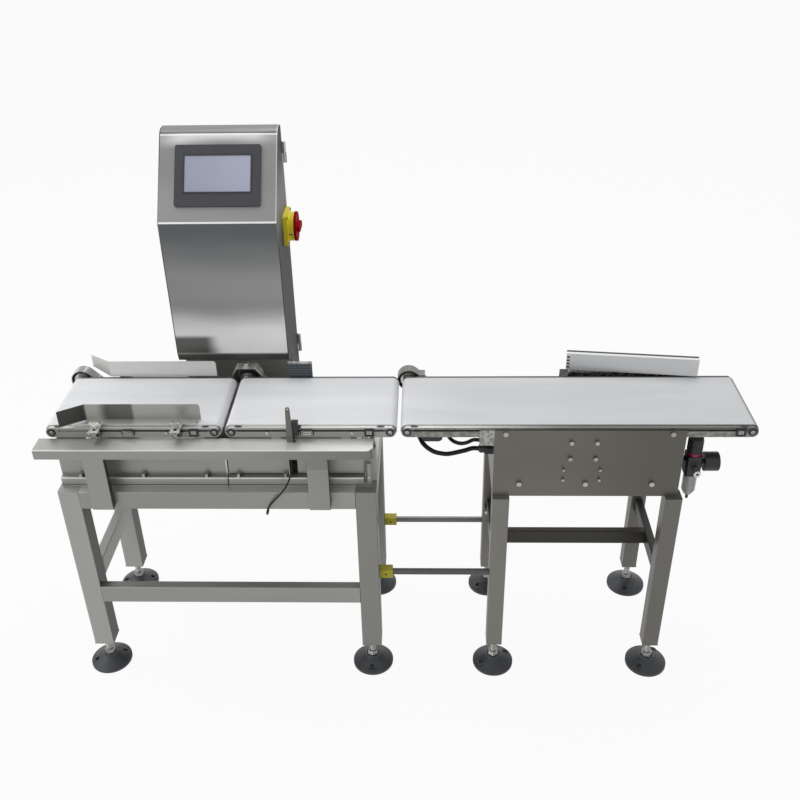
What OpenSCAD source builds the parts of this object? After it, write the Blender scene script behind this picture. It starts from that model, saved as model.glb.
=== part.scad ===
// Checkweigher: infeed, weighing and reject belts on two leg frames, with a control cabinet behind.
// X runs with the product from left to right, Y runs to the back, Z is up and the floor is Z = 0.
// The origin is under the middle of the machine's box.

/* [Conveyors] */
// Infeed conveyor length over its belt
infeed_l = 407; // [380:1:520]
// Weighing conveyor length over its belt
weigh_l = 394; // [380:1:520]
// Reject conveyor length over its belt
reject_l = 809; // [760:1:1000]
// Gap between neighbouring conveyors
transfer_gap = 8; // [5:1:12]
// Height of the belt surface above the floor
belt_top = 750; // [745:1:800]
// Belt width
belt_w = 212; // [200:1:230]
// Belt thickness
belt_t = 2; // [1.5:0.1:3]
// Height of the belt loop over its rollers
nose_d = 31; // [29:1:36]
// Height of a side rail
rail_h = 26; // [22:1:28]
// Thickness of a side rail
rail_t = 9; // [7:0.5:12]
// Diameter of the roller shafts
shaft_d = 10; // [8:0.5:12]

/* [Belt drives] */
// Diameter of the toothed pulley on a drive roller
pulley_d = 40; // [36:1:42]
// Diameter of the pulley on a motor
motor_pulley_d = 25; // [22:1:30]
// Width of the pulleys
pulley_w = 12; // [10:1:16]
// Distance of the motor behind its drive roller, along X
motor_dx = 58; // [52:1:66]
// Distance of the motor below its drive roller
motor_dz = 47; // [45:1:60]
// Diameter of a motor
motor_d = 56; // [48:1:60]
// Length of a motor
motor_l = 84; // [60:1:100]
// Depth of a drive cover
cover_depth = 28; // [26:1:36]

/* [Left frame] */
// Leg tube size
left_leg = 50; // [40:1:60]
// Outer length of the frame
left_l = 755; // [740:1:800]
// Height of the frame's top face
left_top = 580; // [560:1:600]
// How far the frame stands out beyond the infeed belt, below zero where the belt overhangs it
left_over = -3.5; // [-10:0.5:20]
// Height of a stretcher
stretcher_h = 50; // [40:1:60]
// Thickness of a stretcher
stretcher_t = 25; // [20:1:30]
// Underside of the front stretcher
front_stretcher_z = 231; // [180:1:300]
// Underside of the side and rear stretchers
side_stretcher_z = 282; // [200:1:350]

/* [Right frame] */
// Leg tube size
right_leg = 40; // [35:1:50]
// Outer length of the frame
right_l = 444; // [420:1:480]
// Height of the leg tops
right_top = 557; // [540:1:580]
// Distance from the start of the reject belt to the frame
right_start = 214; // [180:1:240]
// Height of a stretcher
right_stretcher_h = 40; // [30:1:50]
// Thickness of a stretcher
right_stretcher_t = 20; // [15:1:25]
// Underside of the stretchers
right_stretcher_z = 289; // [200:1:350]

/* [Both frames] */
// Distance between the front and rear leg lines
leg_pitch = 302; // [290:1:330]
// Distance from the belt's centre line to the front leg line
leg_front = 112.5; // [108:0.5:120]
// Wall of the leg and beam tubes
tube_wall = 2.5; // [1.5:0.1:4]
// Corner radius of the tubes
tube_r = 3; // [2:0.5:5]
// Height of the leg ends above the floor
leg_lift = 87; // [80:1:100]

/* [Feet] */
// Diameter of a foot
foot_d = 105; // [90:1:120]
// Height of the foot's cone
foot_h = 34; // [28:1:38]
// Diameter of the threaded spindle
spindle_d = 16; // [12:1:20]
// Distance between the two floor bolts of a foot
foot_bolts = 74; // [64:1:80]
// Diameter of a floor bolt hole
foot_hole = 11; // [8:1:13]

/* [Tie rods] */
// Diameter of the rods between the frames
rod_d = 16; // [12:1:20]
// Height of the front rod
front_rod_z = 316; // [150:1:380]
// Height of the rear rod
rear_rod_z = 240; // [150:1:380]
// Size of the square rod sockets
socket_s = 25; // [24:1:36]
// Length of the rod sockets
socket_l = 33; // [25:1:45]

/* [Front guard] */
// Length of the guard
guard_l = 772; // [740:1:790]
// How far the guard stands out beyond the infeed belt
guard_over = 17; // [10:1:40]
// Distance from the belt's centre line to the guard's front face
guard_reach = 165.5; // [160:0.5:180]
// Height of the guard's top face
guard_top = 719; // [700:1:719]
// Depth of the guard's top
guard_depth = 49; // [36:1:49]
// Height of the guard's front face
guard_drop = 25; // [20:1:35]
// Thickness of the guard
guard_t = 2; // [1.5:0.1:3]
// Width of a guard post
post_w = 50; // [40:1:60]
// Depth of a guard post
post_d = 20; // [15:1:20]
// Height of the posts' lower ends over the underside of the left frame's beam
post_up = 14; // [0:1:20]
// Place of the first guard post, from the guard's left end
post_1 = 130; // [100:1:200]
// Place of the second guard post, from the guard's left end
post_2 = 644; // [560:1:660]

/* [Cabinet] */
// Width of the cabinet
cab_w = 278; // [260:1:320]
// How far the cabinet's middle stands left of the gap before the weighing belt
cab_shift = 16; // [0:1:30]
// Distance from the belt's centre line to the cabinet's front
cab_front = 149; // [149:1:160]
// Distance from the belt's centre line to the cabinet's back
cab_back = 316.2; // [310:0.1:340]
// Height of the cabinet's lower front edge
cab_bottom = 774; // [773:1:800]
// Height of the cabinet's top
cab_top = 1316; // [1300:1:1330]
// Drop from the top to the crease below the screen panel
crease_drop = 179; // [170:1:195]
// Depth of the cabinet's flat top, with its bend
cab_lid = 34.3; // [30:0.1:45]
// Radius of the bend at the top
cab_bend = 25; // [15:1:35]
// Sheet thickness
sheet = 2; // [1.5:0.1:3]
// Underside of the column
column_z = 480; // [450:1:500]
// Lower edge of the rear door
door_z = 692; // [650:1:720]

/* [Operator panel] */
// Width of the bezel
hmi_w = 200; // [180:1:220]
// Height of the bezel
hmi_h = 146; // [130:1:160]
// Width of the screen
screen_w = 154; // [130:1:160]
// Height of the screen
screen_h = 86; // [75:1:95]
// Bezel thickness
bezel_t = 6; // [5:0.5:9]
// Middle of the bezel above the crease, along the slope
hmi_up = 111; // [105:1:118]

/* [Main switch] */
// Size of the switch plate
switch_s = 76; // [72:1:90]
// Distance from the belt's centre line to the switch
switch_y = 266.5; // [255:0.5:275]
// Height of the switch
switch_z = 1083; // [1000:1:1120]

/* [Reject arm] */
// Length of the swing arm
arm_l = 316; // [280:1:330]
// Height of the swing arm
arm_h = 45; // [36:1:55]
// Thickness of the swing arm
arm_t = 18; // [14:1:22]
// Distance from the start of the reject belt to the arm's pivot
arm_x = 420; // [400:1:430]
// Distance from the reject rail to the arm's pivot
arm_back = 29; // [26:1:34]
// Turn of the arm at rest towards the front
arm_rest = 6.5; // [5:0.5:8]

/* [Hidden] */
$fn = 48;

// Clearances: running fit, open gap beside moving faces, seam between bolted sheets
run = 0.05;
free = 0.3;
seam = 0.2;
side_gap = 0.5;

// Colours
steel = "#b4b3ad";
dark_steel = "#8f8e88";
alu = "#c3c4c6";
black = "#202124";
white = "#e9eaec";
yellow = "#d6cf22";

// Stations along X
left_reach = max(guard_over, left_over + foot_d / 2 - left_leg / 2);
overall_l = left_reach + infeed_l + weigh_l + reject_l + 2 * transfer_gap;
in0 = left_reach - overall_l / 2;
guard_x = in0 - guard_over;
in1 = in0 + infeed_l;
we0 = in1 + transfer_gap;
we1 = we0 + weigh_l;
re0 = we1 + transfer_gap;
re1 = re0 + reject_l;
lf0 = in0 - left_over;
lf1 = lf0 + left_l;
rf0 = re0 + right_start;
rf1 = rf0 + right_l;
foot_turns = [25, 10, 88, 60, 30, 40, 51, 75];
left_xs = [lf0 + left_leg / 2, lf1 - left_leg / 2];
right_xs = [rf0 + right_leg / 2, rf1 - right_leg / 2];

// Stations along Y, from the belt's centre line
door_t = 2;
latch_h = 6;
overall_d = guard_reach + cab_back + free + door_t + latch_h;
yc = guard_reach - overall_d / 2;
rail_in = belt_w / 2 + side_gap;
rail_out = rail_in + rail_t;
y_front = yc - rail_out;
y_rear = yc + rail_out;
leg_ys = [yc - leg_front, yc - leg_front + leg_pitch];
axis_z = belt_top - nose_d / 2;
rail_z0 = axis_z - rail_h / 2;
rail_z1 = axis_z + rail_h / 2;
belt_low = belt_top - nose_d;

// Belt drives
take_up = 63;
reject_take_up = 42;
plate_t = 3;
pulley_y0 = y_rear + plate_t + 3;
pulley_y1 = pulley_y0 + pulley_w;
cover_wall = 2;
cover_r = pulley_d / 2 + 8;
motor_cover_r = motor_pulley_d / 2 + 8;
motor_z = axis_z - motor_dz;
motor_shaft_d = 8;
motor_shaft_in = 18;
tooth_belt_t = 2.5;
roller_xs = [in0 + nose_d / 2, we0 + nose_d / 2, re0 + nose_d / 2];

// Bases on the left frame
base_front = yc - 111.5;
base_rear = leg_ys[1] + 15;
base_t = 3;
ledge_h = 24;
ledge_d = 16;
apron_top = 700;
ledge_bolt_y = 6;
ledge_bolts = [in0 + 57, in0 + 207, in0 + 357, we0 + 18, we0 + 129];
infeed_base_x = [in0 + 9, in1 - 1];
weigh_base_x = [we0 - 6, lf1 - 30];
base_slot_x = [we0 + 140, we0 + 158];
slot_lip = 7;
support_w = 20;
bearer_z = belt_low - 6;
bearer_t = 7;

// Load cell under the weighing belt
cell_l = 150;
cell_w = 40;
cell_h = 40;
cell_x = (we0 + we1) / 2;
cell_z = left_top + base_t + 15;
pillar_dx = 80;
pillar_dy = 60;
pillar_d = 16;
bridge_t = 8;

// Box under the reject belt
plate_top = 741;
box_t = 3;
box_rear = leg_ys[1] + right_leg / 2;
box_top = belt_low - 5;
box_low = belt_low - 31;
shelf_reach = 20;
box_mid = (rf0 + rf1) / 2 - 18;
box_end_in = 11;
box_x1 = rf1 - box_end_in;
bolt_d = 13;
bolt_h = 7;
small_bolt_d = 7;
top_bolt_xs = [rf0 + 25, rf1 - 43];
low_bolt_xs = [rf0 + 61, box_mid + 11, rf1 - 75];
top_bolt_down = 7;
low_bolt_up = 38;
valve_bolt_d = 11;
valve_bolt_dx = 29;
valve_bolt_up = [109, 153];
pad_bolt_dx = 42;
pad_bolt_up = [50, 78];

// Reject arm
pivot = [re0 + arm_x, y_rear + arm_back];
arm_gap = 4;
arm_z = belt_top + arm_gap;
arm_shaft_d = 14;
arm_tail = 15;
actuator_l = 70;
actuator_w = 52;
actuator_h = 90;
actuator_bore = 35;
arm_shaft_in = 30;
valve_w = 76;
valve_d = 34;
valve_h = 65;
valve_z = right_top + 95;

// Guides on the infeed belt
guide_t = 2;
guide_h = 42;
guide_lift = 2;
guide_z = belt_top + guide_lift;
guide_start = 93;
guide_end = 358;
guide_x = [in0 + guide_start, in0 + guide_end];
guide_corner = 8;
flare_rise = 10;
flare_l = 53;
flare_d = 34;
guide_in = 87.5;
rear_guide_y = 111;
guide_flange = 22;
tab_w = 22;
tab_l = 34;
guide_travel = 10;
stud_d = 6;
clamp_inset = 30;
clamp_outset = 50;
clamp_xs = [guide_x[0] + clamp_inset, guide_x[1] - clamp_outset];
clamp_w = 20;
clamp_d = 18;
rear_clamp_d = 31;
clamp_up = 9;
stud_rise = 14;
wing_hub_d = 12;
wing_hub_h = 7;
wing_l = 15;
wing_t = 4;
wing_h = 8;
wing_tilt = 35;

// Photo sensor and its reflector
sensor_x = we0 + 151;
bracket_w = 10;
bracket_t = 4;
bracket_h = 92;
bracket_y = yc - 130;
bracket_foot = 15;
foot_back = 10;
sensor_size = [15, 12, 38];
sensor_drop = 18;
sensor_knob_d = 9;
reflector_w = 58;
reflector_h = 38;

// Cabinet
cab_x = (in1 + we0) / 2 - cab_shift;
cab_x0 = cab_x - cab_w / 2;
cab_x1 = cab_x + cab_w / 2;
cab_crease = cab_top - crease_drop;
screen_slope = atan2(crease_drop, cab_back - cab_front - cab_lid);
crease_r = 4;
lip_h = 21;
lip_in = 6;
column_front = leg_pitch - leg_front + left_leg / 2;
column_depth = cab_back - column_front;
hinge_x = cab_x1 + 5;
hinge_y = yc + cab_back + 1.5;
hinge_zs = [door_z + 45, cab_top - 66];
knuckle_l = 25;
knuckle_r = 4;
hinge_pin_d = 4;
screen_up = 4;
bezel_recess = 1.5;

// Controls on the back plate inside the cabinet
backplate_t = 3;
backplate_up = 60;
drive_gap = 14;
drive_w = 105;
drive_d = 50;
drive_h = 160;
supply_pitch = 40;
supply_w = 34;
supply_d = 70;
supply_h = 130;
terminal_w = 190;
terminal_d = 38;
terminal_h = 45;

// Main switch
switch_plate_t = 10;
drum_d = 70;
drum_l = 14;
handle_d = 71;
handle_t = 6;
grip_l = 46;
grip_w = 15;
grip_h = 9;
switch_spindle_d = 12;

// Air regulator on the end of the reject box
reg_x = rf1 + 26;
reg_y = yc - 74;
reg_d = 36;
reg_z = [520, 535, 594, 648, 655, 692];
gauge_d = 46;
gauge_l = 32;
gauge_up = 32;
fitting_d = 14;

// Gland of the motor cable, and the junction block above it
gland_y = y_front + 54;
gland_z = right_top + 97;
gland_d = 30;
gland_cap_d = 21;
gland_l = 32;
gland_base = 18;
junction_l = 34;
junction_d = 28;
junction_drop = 21;

// Cord routes
cord_sides = 8;
sensor_cord_d = 4;
sensor_route = [
    [-227, -202, 732], [-228, -205, 716], [-231, -209, 698], [-234, -213, 680], [-235, -217, 662],
    [-237, -220, 644], [-241, -222, 627], [-248, -223, 610], [-257, -224, 594],
    [-268, -224, 579], [-280, -224, 565], [-291, -223, 551], [-300, -221, 535], [-305, -216, 518],
    [-306, -203, 506], [-307, -185, 502], [-307, -169, 510], [-307, -159, 526], [-307, -155, 543],
    [-307, -154, 562], [-307, -154, 580]
];
motor_cord_d = 11;
motor_route = [
    [66, -48, 686], [66, -62, 686], [61, -77, 681], [58, -90, 674], [58, -103, 666], [63, -116, 659],
    [71, -128, 654], [81, -137, 650], [94, -144, 646], [109, -146, 643], [124, -147, 642],
    [139, -146, 644], [153, -145, 647], [168, -143, 650], [183, -141, 654], [198, -141, 654]
];
signal_cord_d = 9;
signal_route = [
    [104, -48, 690], [104, -61, 690], [109, -75, 693], [116, -87, 696], [121, -100, 698], [123, -114, 699],
    [123, -128, 699], [124, -142, 698], [127, -155, 697], [134, -167, 695], [144, -177, 695],
    [156, -184, 697], [169, -187, 702], [182, -186, 708], [196, -186, 708]
];

module block(x, y, z) {
    translate([x[0], y[0], z[0]]) cube([x[1] - x[0], y[1] - y[0], z[1] - z[0]]);
}
module rod_x(x, y, z, d) {
    translate([x[0], y, z]) rotate([0, 90, 0]) cylinder(d = d, h = x[1] - x[0]);
}
module rod_y(x, y, z, d) {
    translate([x, y[1], z]) rotate([90, 0, 0]) cylinder(d = d, h = y[1] - y[0]);
}
module rod_z(x, y, z, d) {
    translate([x, y, z[0]]) cylinder(d = d, h = z[1] - z[0]);
}
// An outline drawn in X and Z, thickened along Y
module slab_y(y) {
    translate([0, y[1], 0]) rotate([90, 0, 0]) linear_extrude(y[1] - y[0]) children();
}
// An outline drawn in Y and Z, thickened along X
module slab_x(x) {
    translate([x[0], 0, 0]) rotate([90, 0, 90]) linear_extrude(x[1] - x[0]) children();
}
module round_rect(w, h, r) {
    square([w, h - 2 * r], center = true);
    square([w - 2 * r, h], center = true);
    for (x = [-1, 1], y = [-1, 1]) translate([x * (w / 2 - r), y * (h / 2 - r)]) circle(r);
}
module tube_section(w, h) {
    difference() {
        round_rect(w, h, tube_r);
        square([w - 2 * tube_wall, h - 2 * tube_wall], center = true);
    }
}
module tube_x(x, y, z, w, h) {
    translate([x[0], y, z]) rotate([90, 0, 90]) linear_extrude(x[1] - x[0]) tube_section(w, h);
}
module tube_y(x, y, z, w, h) {
    translate([x, y[1], z]) rotate([90, 0, 0]) linear_extrude(y[1] - y[0]) tube_section(w, h);
}
module stadium(x0, x1, z, r) {
    translate([x0 + r, z - r]) square([x1 - x0 - 2 * r, 2 * r]);
    for (x = [x0 + r, x1 - r]) translate([x, z]) circle(r);
}
function polar(c, r, a) = c + r * [cos(a), sin(a)];
// Outline round two circles, as a belt wraps two pulleys
module wrap(c1, r1, c2, r2, steps = 20) {
    d = c2 - c1;
    base = atan2(d[1], d[0]);
    off = acos((r1 - r2) / norm(d));
    polygon([
        for (i = [0:steps]) polar(c1, r1, base + off + (360 - 2 * off) * i / steps),
        for (i = [0:steps]) polar(c2, r2, base - off + 2 * off * i / steps)
    ]);
}

// Leg tube with a closed top, and the threaded plug in its lower end
module leg(x, y, s, top) {
    translate([x, y, leg_lift]) difference() {
        linear_extrude(top - leg_lift) round_rect(s, s, tube_r);
        translate([0, 0, -1]) linear_extrude(top - leg_lift + 1 - tube_wall)
            square(s - 2 * tube_wall, center = true);
    }
    plug = s - 2 * tube_wall - 2 * seam;
    translate([x, y, leg_lift]) difference() {
        union() {
            translate([-plug / 2, -plug / 2, -seam]) cube([plug, plug, 18]);
            translate([-s / 2, -s / 2, -seam - 4]) cube([s, s, 4]);
        }
        translate([0, 0, -10]) cylinder(d = spindle_d + 2 * run, h = 40);
    }
}
module left_legs() {
    color(steel) for (x = left_xs, y = leg_ys) leg(x, y, left_leg, left_top);
}
module left_beams() {
    inner_x = [lf0 + left_leg, lf1 - left_leg];
    inner_y = [leg_ys[0] + left_leg / 2, leg_ys[1] - left_leg / 2];
    flush = (left_leg - stretcher_t) / 2;
    color(steel) {
        for (y = leg_ys) tube_x(inner_x, y, left_top - left_leg / 2, left_leg, left_leg);
        for (x = left_xs) tube_y(x, inner_y, left_top - left_leg / 2, left_leg, left_leg);
        tube_x(inner_x, leg_ys[0] - flush, front_stretcher_z + stretcher_h / 2, stretcher_t, stretcher_h);
        tube_x(inner_x, leg_ys[1] + flush, side_stretcher_z + stretcher_h / 2, stretcher_t, stretcher_h);
        tube_y(left_xs[0] + flush, inner_y, side_stretcher_z + stretcher_h / 2, stretcher_t, stretcher_h);
        tube_y(left_xs[1] - flush, inner_y, side_stretcher_z + stretcher_h / 2, stretcher_t, stretcher_h);
    }
}
module right_legs() {
    color(steel) for (x = right_xs, y = leg_ys) leg(x, y, right_leg, right_top);
}
module right_beams() {
    z = right_stretcher_z + right_stretcher_h / 2;
    inner_y = [leg_ys[0] + right_leg / 2, leg_ys[1] - right_leg / 2];
    half = right_stretcher_t / 2 + seam;
    color(steel) {
        for (x = right_xs) tube_y(x, inner_y, z, right_stretcher_t, right_stretcher_h);
        tube_x([right_xs[0] + half, right_xs[1] - half], (leg_ys[0] + leg_ys[1]) / 2, z,
            right_stretcher_t, right_stretcher_h);
    }
}
// A levelling foot: bolt-down cone, hexagon and threaded spindle
module foot(x, y, turn) {
    rim = 9;
    neck = spindle_d / 2 + 9;
    lug_r = foot_hole / 2 + 6;
    translate([x, y, 0]) rotate([0, 0, turn]) difference() {
        union() {
            rotate_extrude() polygon([[0, 0], [foot_d / 2 - 2, 0], [foot_d / 2, 2], [foot_d / 2, rim],
                [neck + 3, foot_h - 6], [neck, foot_h], [0, foot_h]]);
            for (s = [-1, 1]) translate([s * foot_bolts / 2, 0, 0]) cylinder(r = lug_r, h = rim + 7);
            cylinder(d = spindle_d, h = leg_lift + 60);
            translate([0, 0, foot_h]) cylinder(d = spindle_d * 1.7, h = 12, $fn = 6);
        }
        for (s = [-1, 1]) translate([s * foot_bolts / 2, 0, -1]) cylinder(d = foot_hole, h = foot_h);
    }
}
module foot_infeed_front() { color(black) foot(left_xs[0], leg_ys[0], foot_turns[0]); }
module foot_infeed_rear() { color(black) foot(left_xs[0], leg_ys[1], foot_turns[1]); }
module foot_weigh_front() { color(black) foot(left_xs[1], leg_ys[0], foot_turns[2]); }
module foot_weigh_rear() { color(black) foot(left_xs[1], leg_ys[1], foot_turns[3]); }
module foot_reject_front() { color(black) foot(right_xs[0], leg_ys[0], foot_turns[4]); }
module foot_reject_rear() { color(black) foot(right_xs[0], leg_ys[1], foot_turns[5]); }
module foot_exit_front() { color(black) foot(right_xs[1], leg_ys[0], foot_turns[6]); }
module foot_exit_rear() { color(black) foot(right_xs[1], leg_ys[1], foot_turns[7]); }

module tie_rods() {
    color(dark_steel) {
        rod_x([lf1, rf0], leg_ys[0], front_rod_z, rod_d);
        rod_x([lf1, rf0], leg_ys[1], rear_rod_z, rod_d);
    }
}
module rod_socket(y, z) {
    difference() {
        slab_x([lf1, lf1 + socket_l]) translate([y, z]) round_rect(socket_s, socket_s, 3);
        rod_x([lf1 - 1, lf1 + socket_l + 1], y, z, rod_d + 2 * run);
        rod_y(lf1 + socket_l / 2, [y - socket_s, y - rod_d / 2 - 2], z, 6);
    }
}
module rod_sockets() {
    color(yellow) {
        rod_socket(leg_ys[0], front_rod_z);
        rod_socket(leg_ys[1], rear_rod_z);
    }
}

// Angle-section guard in front of the conveyors, on two posts
module guard_plan(corner) {
    square([guard_l - corner, guard_depth]);
    translate([0, corner]) square([guard_l, guard_depth - corner]);
    translate([guard_l - corner, corner]) circle(corner);
}
module front_guard() {
    corner = 14;
    y0 = yc - guard_reach;
    post_y = leg_ys[0] - left_leg / 2 - post_d / 2;
    post_z = left_top - left_leg + post_up;
    color(steel) {
        difference() {
            union() {
                translate([guard_x, y0, guard_top - guard_t]) linear_extrude(guard_t) guard_plan(corner);
                translate([guard_x, y0, guard_top - guard_drop]) linear_extrude(guard_drop) difference() {
                    guard_plan(corner);
                    offset(delta = -guard_t) guard_plan(corner);
                    translate([guard_t, guard_depth - guard_t - 1]) square([guard_l, guard_t + 2]);
                }
            }
            rod_z(sensor_route[1][0], bracket_y + 4, [guard_top - 5, guard_top + 5], 14);
        }
        for (x = [post_1, post_2]) translate([guard_x + x, post_y, post_z])
            linear_extrude(guard_top - guard_t - seam - post_z) tube_section(post_w, post_d);
    }
}

// Bar under the belt with an ear below each side rail
module rail_bearer(x) {
    xs = [x - support_w / 2, x + support_w / 2];
    block(xs, [y_front, y_rear], [bearer_z - bearer_t, bearer_z]);
    for (y = [y_front, y_rear - rail_t]) block(xs, [y, y + rail_t], [bearer_z - bearer_t, rail_z0]);
}
// Sheet base with a bolting ledge and a front apron, and two uprights under the rails
module base_sheet(x) {
    z0 = left_top;
    block(x, [base_front, base_rear], [z0, z0 + base_t]);
    block(x, [base_front, base_front + base_t], [z0, z0 + ledge_h]);
    block(x, [base_front, base_front + ledge_d], [z0 + ledge_h - base_t, z0 + ledge_h]);
    block(x, [base_front + ledge_d - base_t, base_front + ledge_d], [z0 + ledge_h - base_t, apron_top]);
}
module end_apron(x) {
    block(x, [base_front + ledge_d - base_t, y_rear - motor_l / 2], [left_top, apron_top]);
}
module infeed_base() {
    x = infeed_base_x;
    uprights = [roller_xs[0] + motor_dx + motor_d / 2 + 30, x[1] - 50];
    color(steel) {
        base_sheet(x);
        end_apron([x[0], x[0] + base_t]);
        for (u = uprights) {
            block([u - base_t, u + base_t], [base_front + ledge_d - base_t, y_rear - rail_t],
                [left_top, bearer_z]);
            rail_bearer(u);
        }
    }
}
module weigh_base() {
    x = weigh_base_x;
    apron_y = base_front + ledge_d - base_t;
    slot_z = left_top + ledge_h;
    color(steel) {
        difference() {
            base_sheet(x);
            block(base_slot_x, [apron_y - 1, apron_y + base_t + 1], [slot_z, apron_top + 1]);
        }
        block([base_slot_x[0] - base_t, base_slot_x[0]], [apron_y - slot_lip, apron_y + 1],
            [slot_z - 1, apron_top]);
        end_apron([x[1] - base_t, x[1]]);
        block([cell_x - cell_l / 2, cell_x - cell_l / 2 + 45], [yc - cell_w / 2, yc + cell_w / 2],
            [left_top, cell_z]);
        for (y = [base_front + 8, yc + 60]) {
            rod_z(x[1] + 12, y, [left_top, left_top + 62], 12);
            block([x[1] - 1, x[1] + 20], [y - 9, y + 9], [left_top, left_top + 8]);
        }
    }
}
// Single-point load cell, and the bridge that carries the weighing belt on it
module load_cell() {
    color(alu) difference() {
        block([cell_x - cell_l / 2, cell_x + cell_l / 2], [yc - cell_w / 2, yc + cell_w / 2],
            [cell_z, cell_z + cell_h]);
        for (s = [-1, 1]) rod_y(cell_x + s * 16, [yc - cell_w, yc + cell_w], cell_z + cell_h / 2, 26);
        block([cell_x - 16, cell_x + 16], [yc - cell_w, yc + cell_w], [cell_z + 14, cell_z + cell_h - 14]);
    }
    z = cell_z + cell_h + seam;
    color(steel) {
        block([cell_x + cell_l / 2 - 45, cell_x + cell_l / 2], [yc - cell_w / 2, yc + cell_w / 2],
            [z, z + 6]);
        block([cell_x - pillar_dx - 15, cell_x + pillar_dx + 15], [yc - pillar_dy - 15, yc + pillar_dy + 15],
            [z + 6, z + 6 + bridge_t]);
        for (sx = [-1, 1], sy = [-1, 1])
            rod_z(cell_x + sx * pillar_dx, yc + sy * pillar_dy, [z + 6, bearer_z - 1], pillar_d);
        for (sx = [-1, 1]) rail_bearer(cell_x + sx * pillar_dx);
    }
}

// Side rails and slider bed of one conveyor
module rail(x0, x1, y, outer, window) {
    back = (nose_d - rail_h) / 2;
    groove_z = [axis_z + 2.5, axis_z + 7];
    slot_d = 3;
    cut_y = outer < yc ? [outer - 1, outer + slot_d] : [outer - slot_d, outer + 1];
    difference() {
        slab_y(y) stadium(x0 + back, x1 - back, axis_z, rail_h / 2);
        for (x = [x0 + nose_d / 2, x1 - nose_d / 2])
            rod_y(x, [y[0] - 1, y[1] + 1], axis_z, shaft_d + 2 * run);
        block([x0 + nose_d, x1 - nose_d], cut_y, groove_z);
        block([x1 - window - 7, x1 - window + 7], cut_y, [axis_z - 6, axis_z + 6]);
    }
}
module conveyor_frame(x0, x1, window) {
    bed_h = 14;
    bed_x = [x0 + nose_d + 1, x1 - nose_d - 1];
    bed_y = [yc - rail_in + seam, yc + rail_in - seam];
    top = belt_top - belt_t;
    color(alu) {
        rail(x0, x1, [y_front, yc - rail_in], y_front, window);
        rail(x0, x1, [yc + rail_in, y_rear], y_rear, window);
        difference() {
            block(bed_x, bed_y, [top - bed_h, top]);
            block([bed_x[0] - 1, bed_x[1] + 1], [bed_y[0] + base_t, bed_y[1] - base_t],
                [top - bed_h - 1, top - base_t]);
        }
    }
}
module infeed_frame() { conveyor_frame(in0, in1, take_up); }
module weigh_frame() { conveyor_frame(we0, we1, take_up); }
module reject_frame() { conveyor_frame(re0, re1, reject_take_up); }

module belt(x0, x1) {
    color(white) slab_y([yc - belt_w / 2, yc + belt_w / 2]) difference() {
        stadium(x0, x1, axis_z, nose_d / 2);
        stadium(x0 + belt_t, x1 - belt_t, axis_z, nose_d / 2 - belt_t);
    }
}
module infeed_belt() { belt(in0, in1); }
module weigh_belt() { belt(we0, we1); }
module reject_belt() { belt(re0, re1); }

module roller(x, shaft_end) {
    color(dark_steel) {
        rod_y(x, [yc - belt_w / 2, yc + belt_w / 2], axis_z, nose_d - 2 * belt_t - 2 * free);
        rod_y(x, [y_front + 1, shaft_end], axis_z, shaft_d);
    }
}
module drive_roller(i) {
    roller(roller_xs[i], pulley_y1 + 2);
    color(black) rod_y(roller_xs[i], [pulley_y0, pulley_y1], axis_z, pulley_d);
}
module infeed_drive_roller() { drive_roller(0); }
module weigh_drive_roller() { drive_roller(1); }
module reject_drive_roller() { drive_roller(2); }
module infeed_tail_roller() { roller(in1 - nose_d / 2, y_rear - 1); }
module weigh_tail_roller() { roller(we1 - nose_d / 2, y_rear - 1); }
module reject_tail_roller() { roller(re1 - nose_d / 2, y_rear - 1); }

module motor_pulley(i) {
    x = roller_xs[i] + motor_dx;
    color(black) {
        rod_y(x, [pulley_y0, pulley_y1], motor_z, motor_pulley_d);
        rod_y(x, [y_rear - motor_shaft_in + 1, pulley_y1], motor_z, motor_shaft_d);
    }
}
module infeed_motor_pulley() { motor_pulley(0); }
module weigh_motor_pulley() { motor_pulley(1); }
module reject_motor_pulley() { motor_pulley(2); }

module drive_motors() {
    color(black) for (x = roller_xs) difference() {
        union() {
            rod_y(x + motor_dx, [y_rear - motor_l, y_rear], motor_z, motor_d);
            slab_y([y_rear - 10, y_rear]) translate([x + motor_dx, motor_z])
                round_rect(motor_d, motor_d, 5);
        }
        rod_y(x + motor_dx, [y_rear - motor_shaft_in, y_rear + 1], motor_z, motor_shaft_d + 2 * run);
    }
}
module timing_belts() {
    r1 = pulley_d / 2 + free;
    r2 = motor_pulley_d / 2 + free;
    color(black) for (x = roller_xs) slab_y([pulley_y0 + 1, pulley_y1 - 1]) difference() {
        wrap([x, axis_z], r1 + tooth_belt_t, [x + motor_dx, motor_z], r2 + tooth_belt_t);
        wrap([x, axis_z], r1, [x + motor_dx, motor_z], r2);
    }
}
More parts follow.
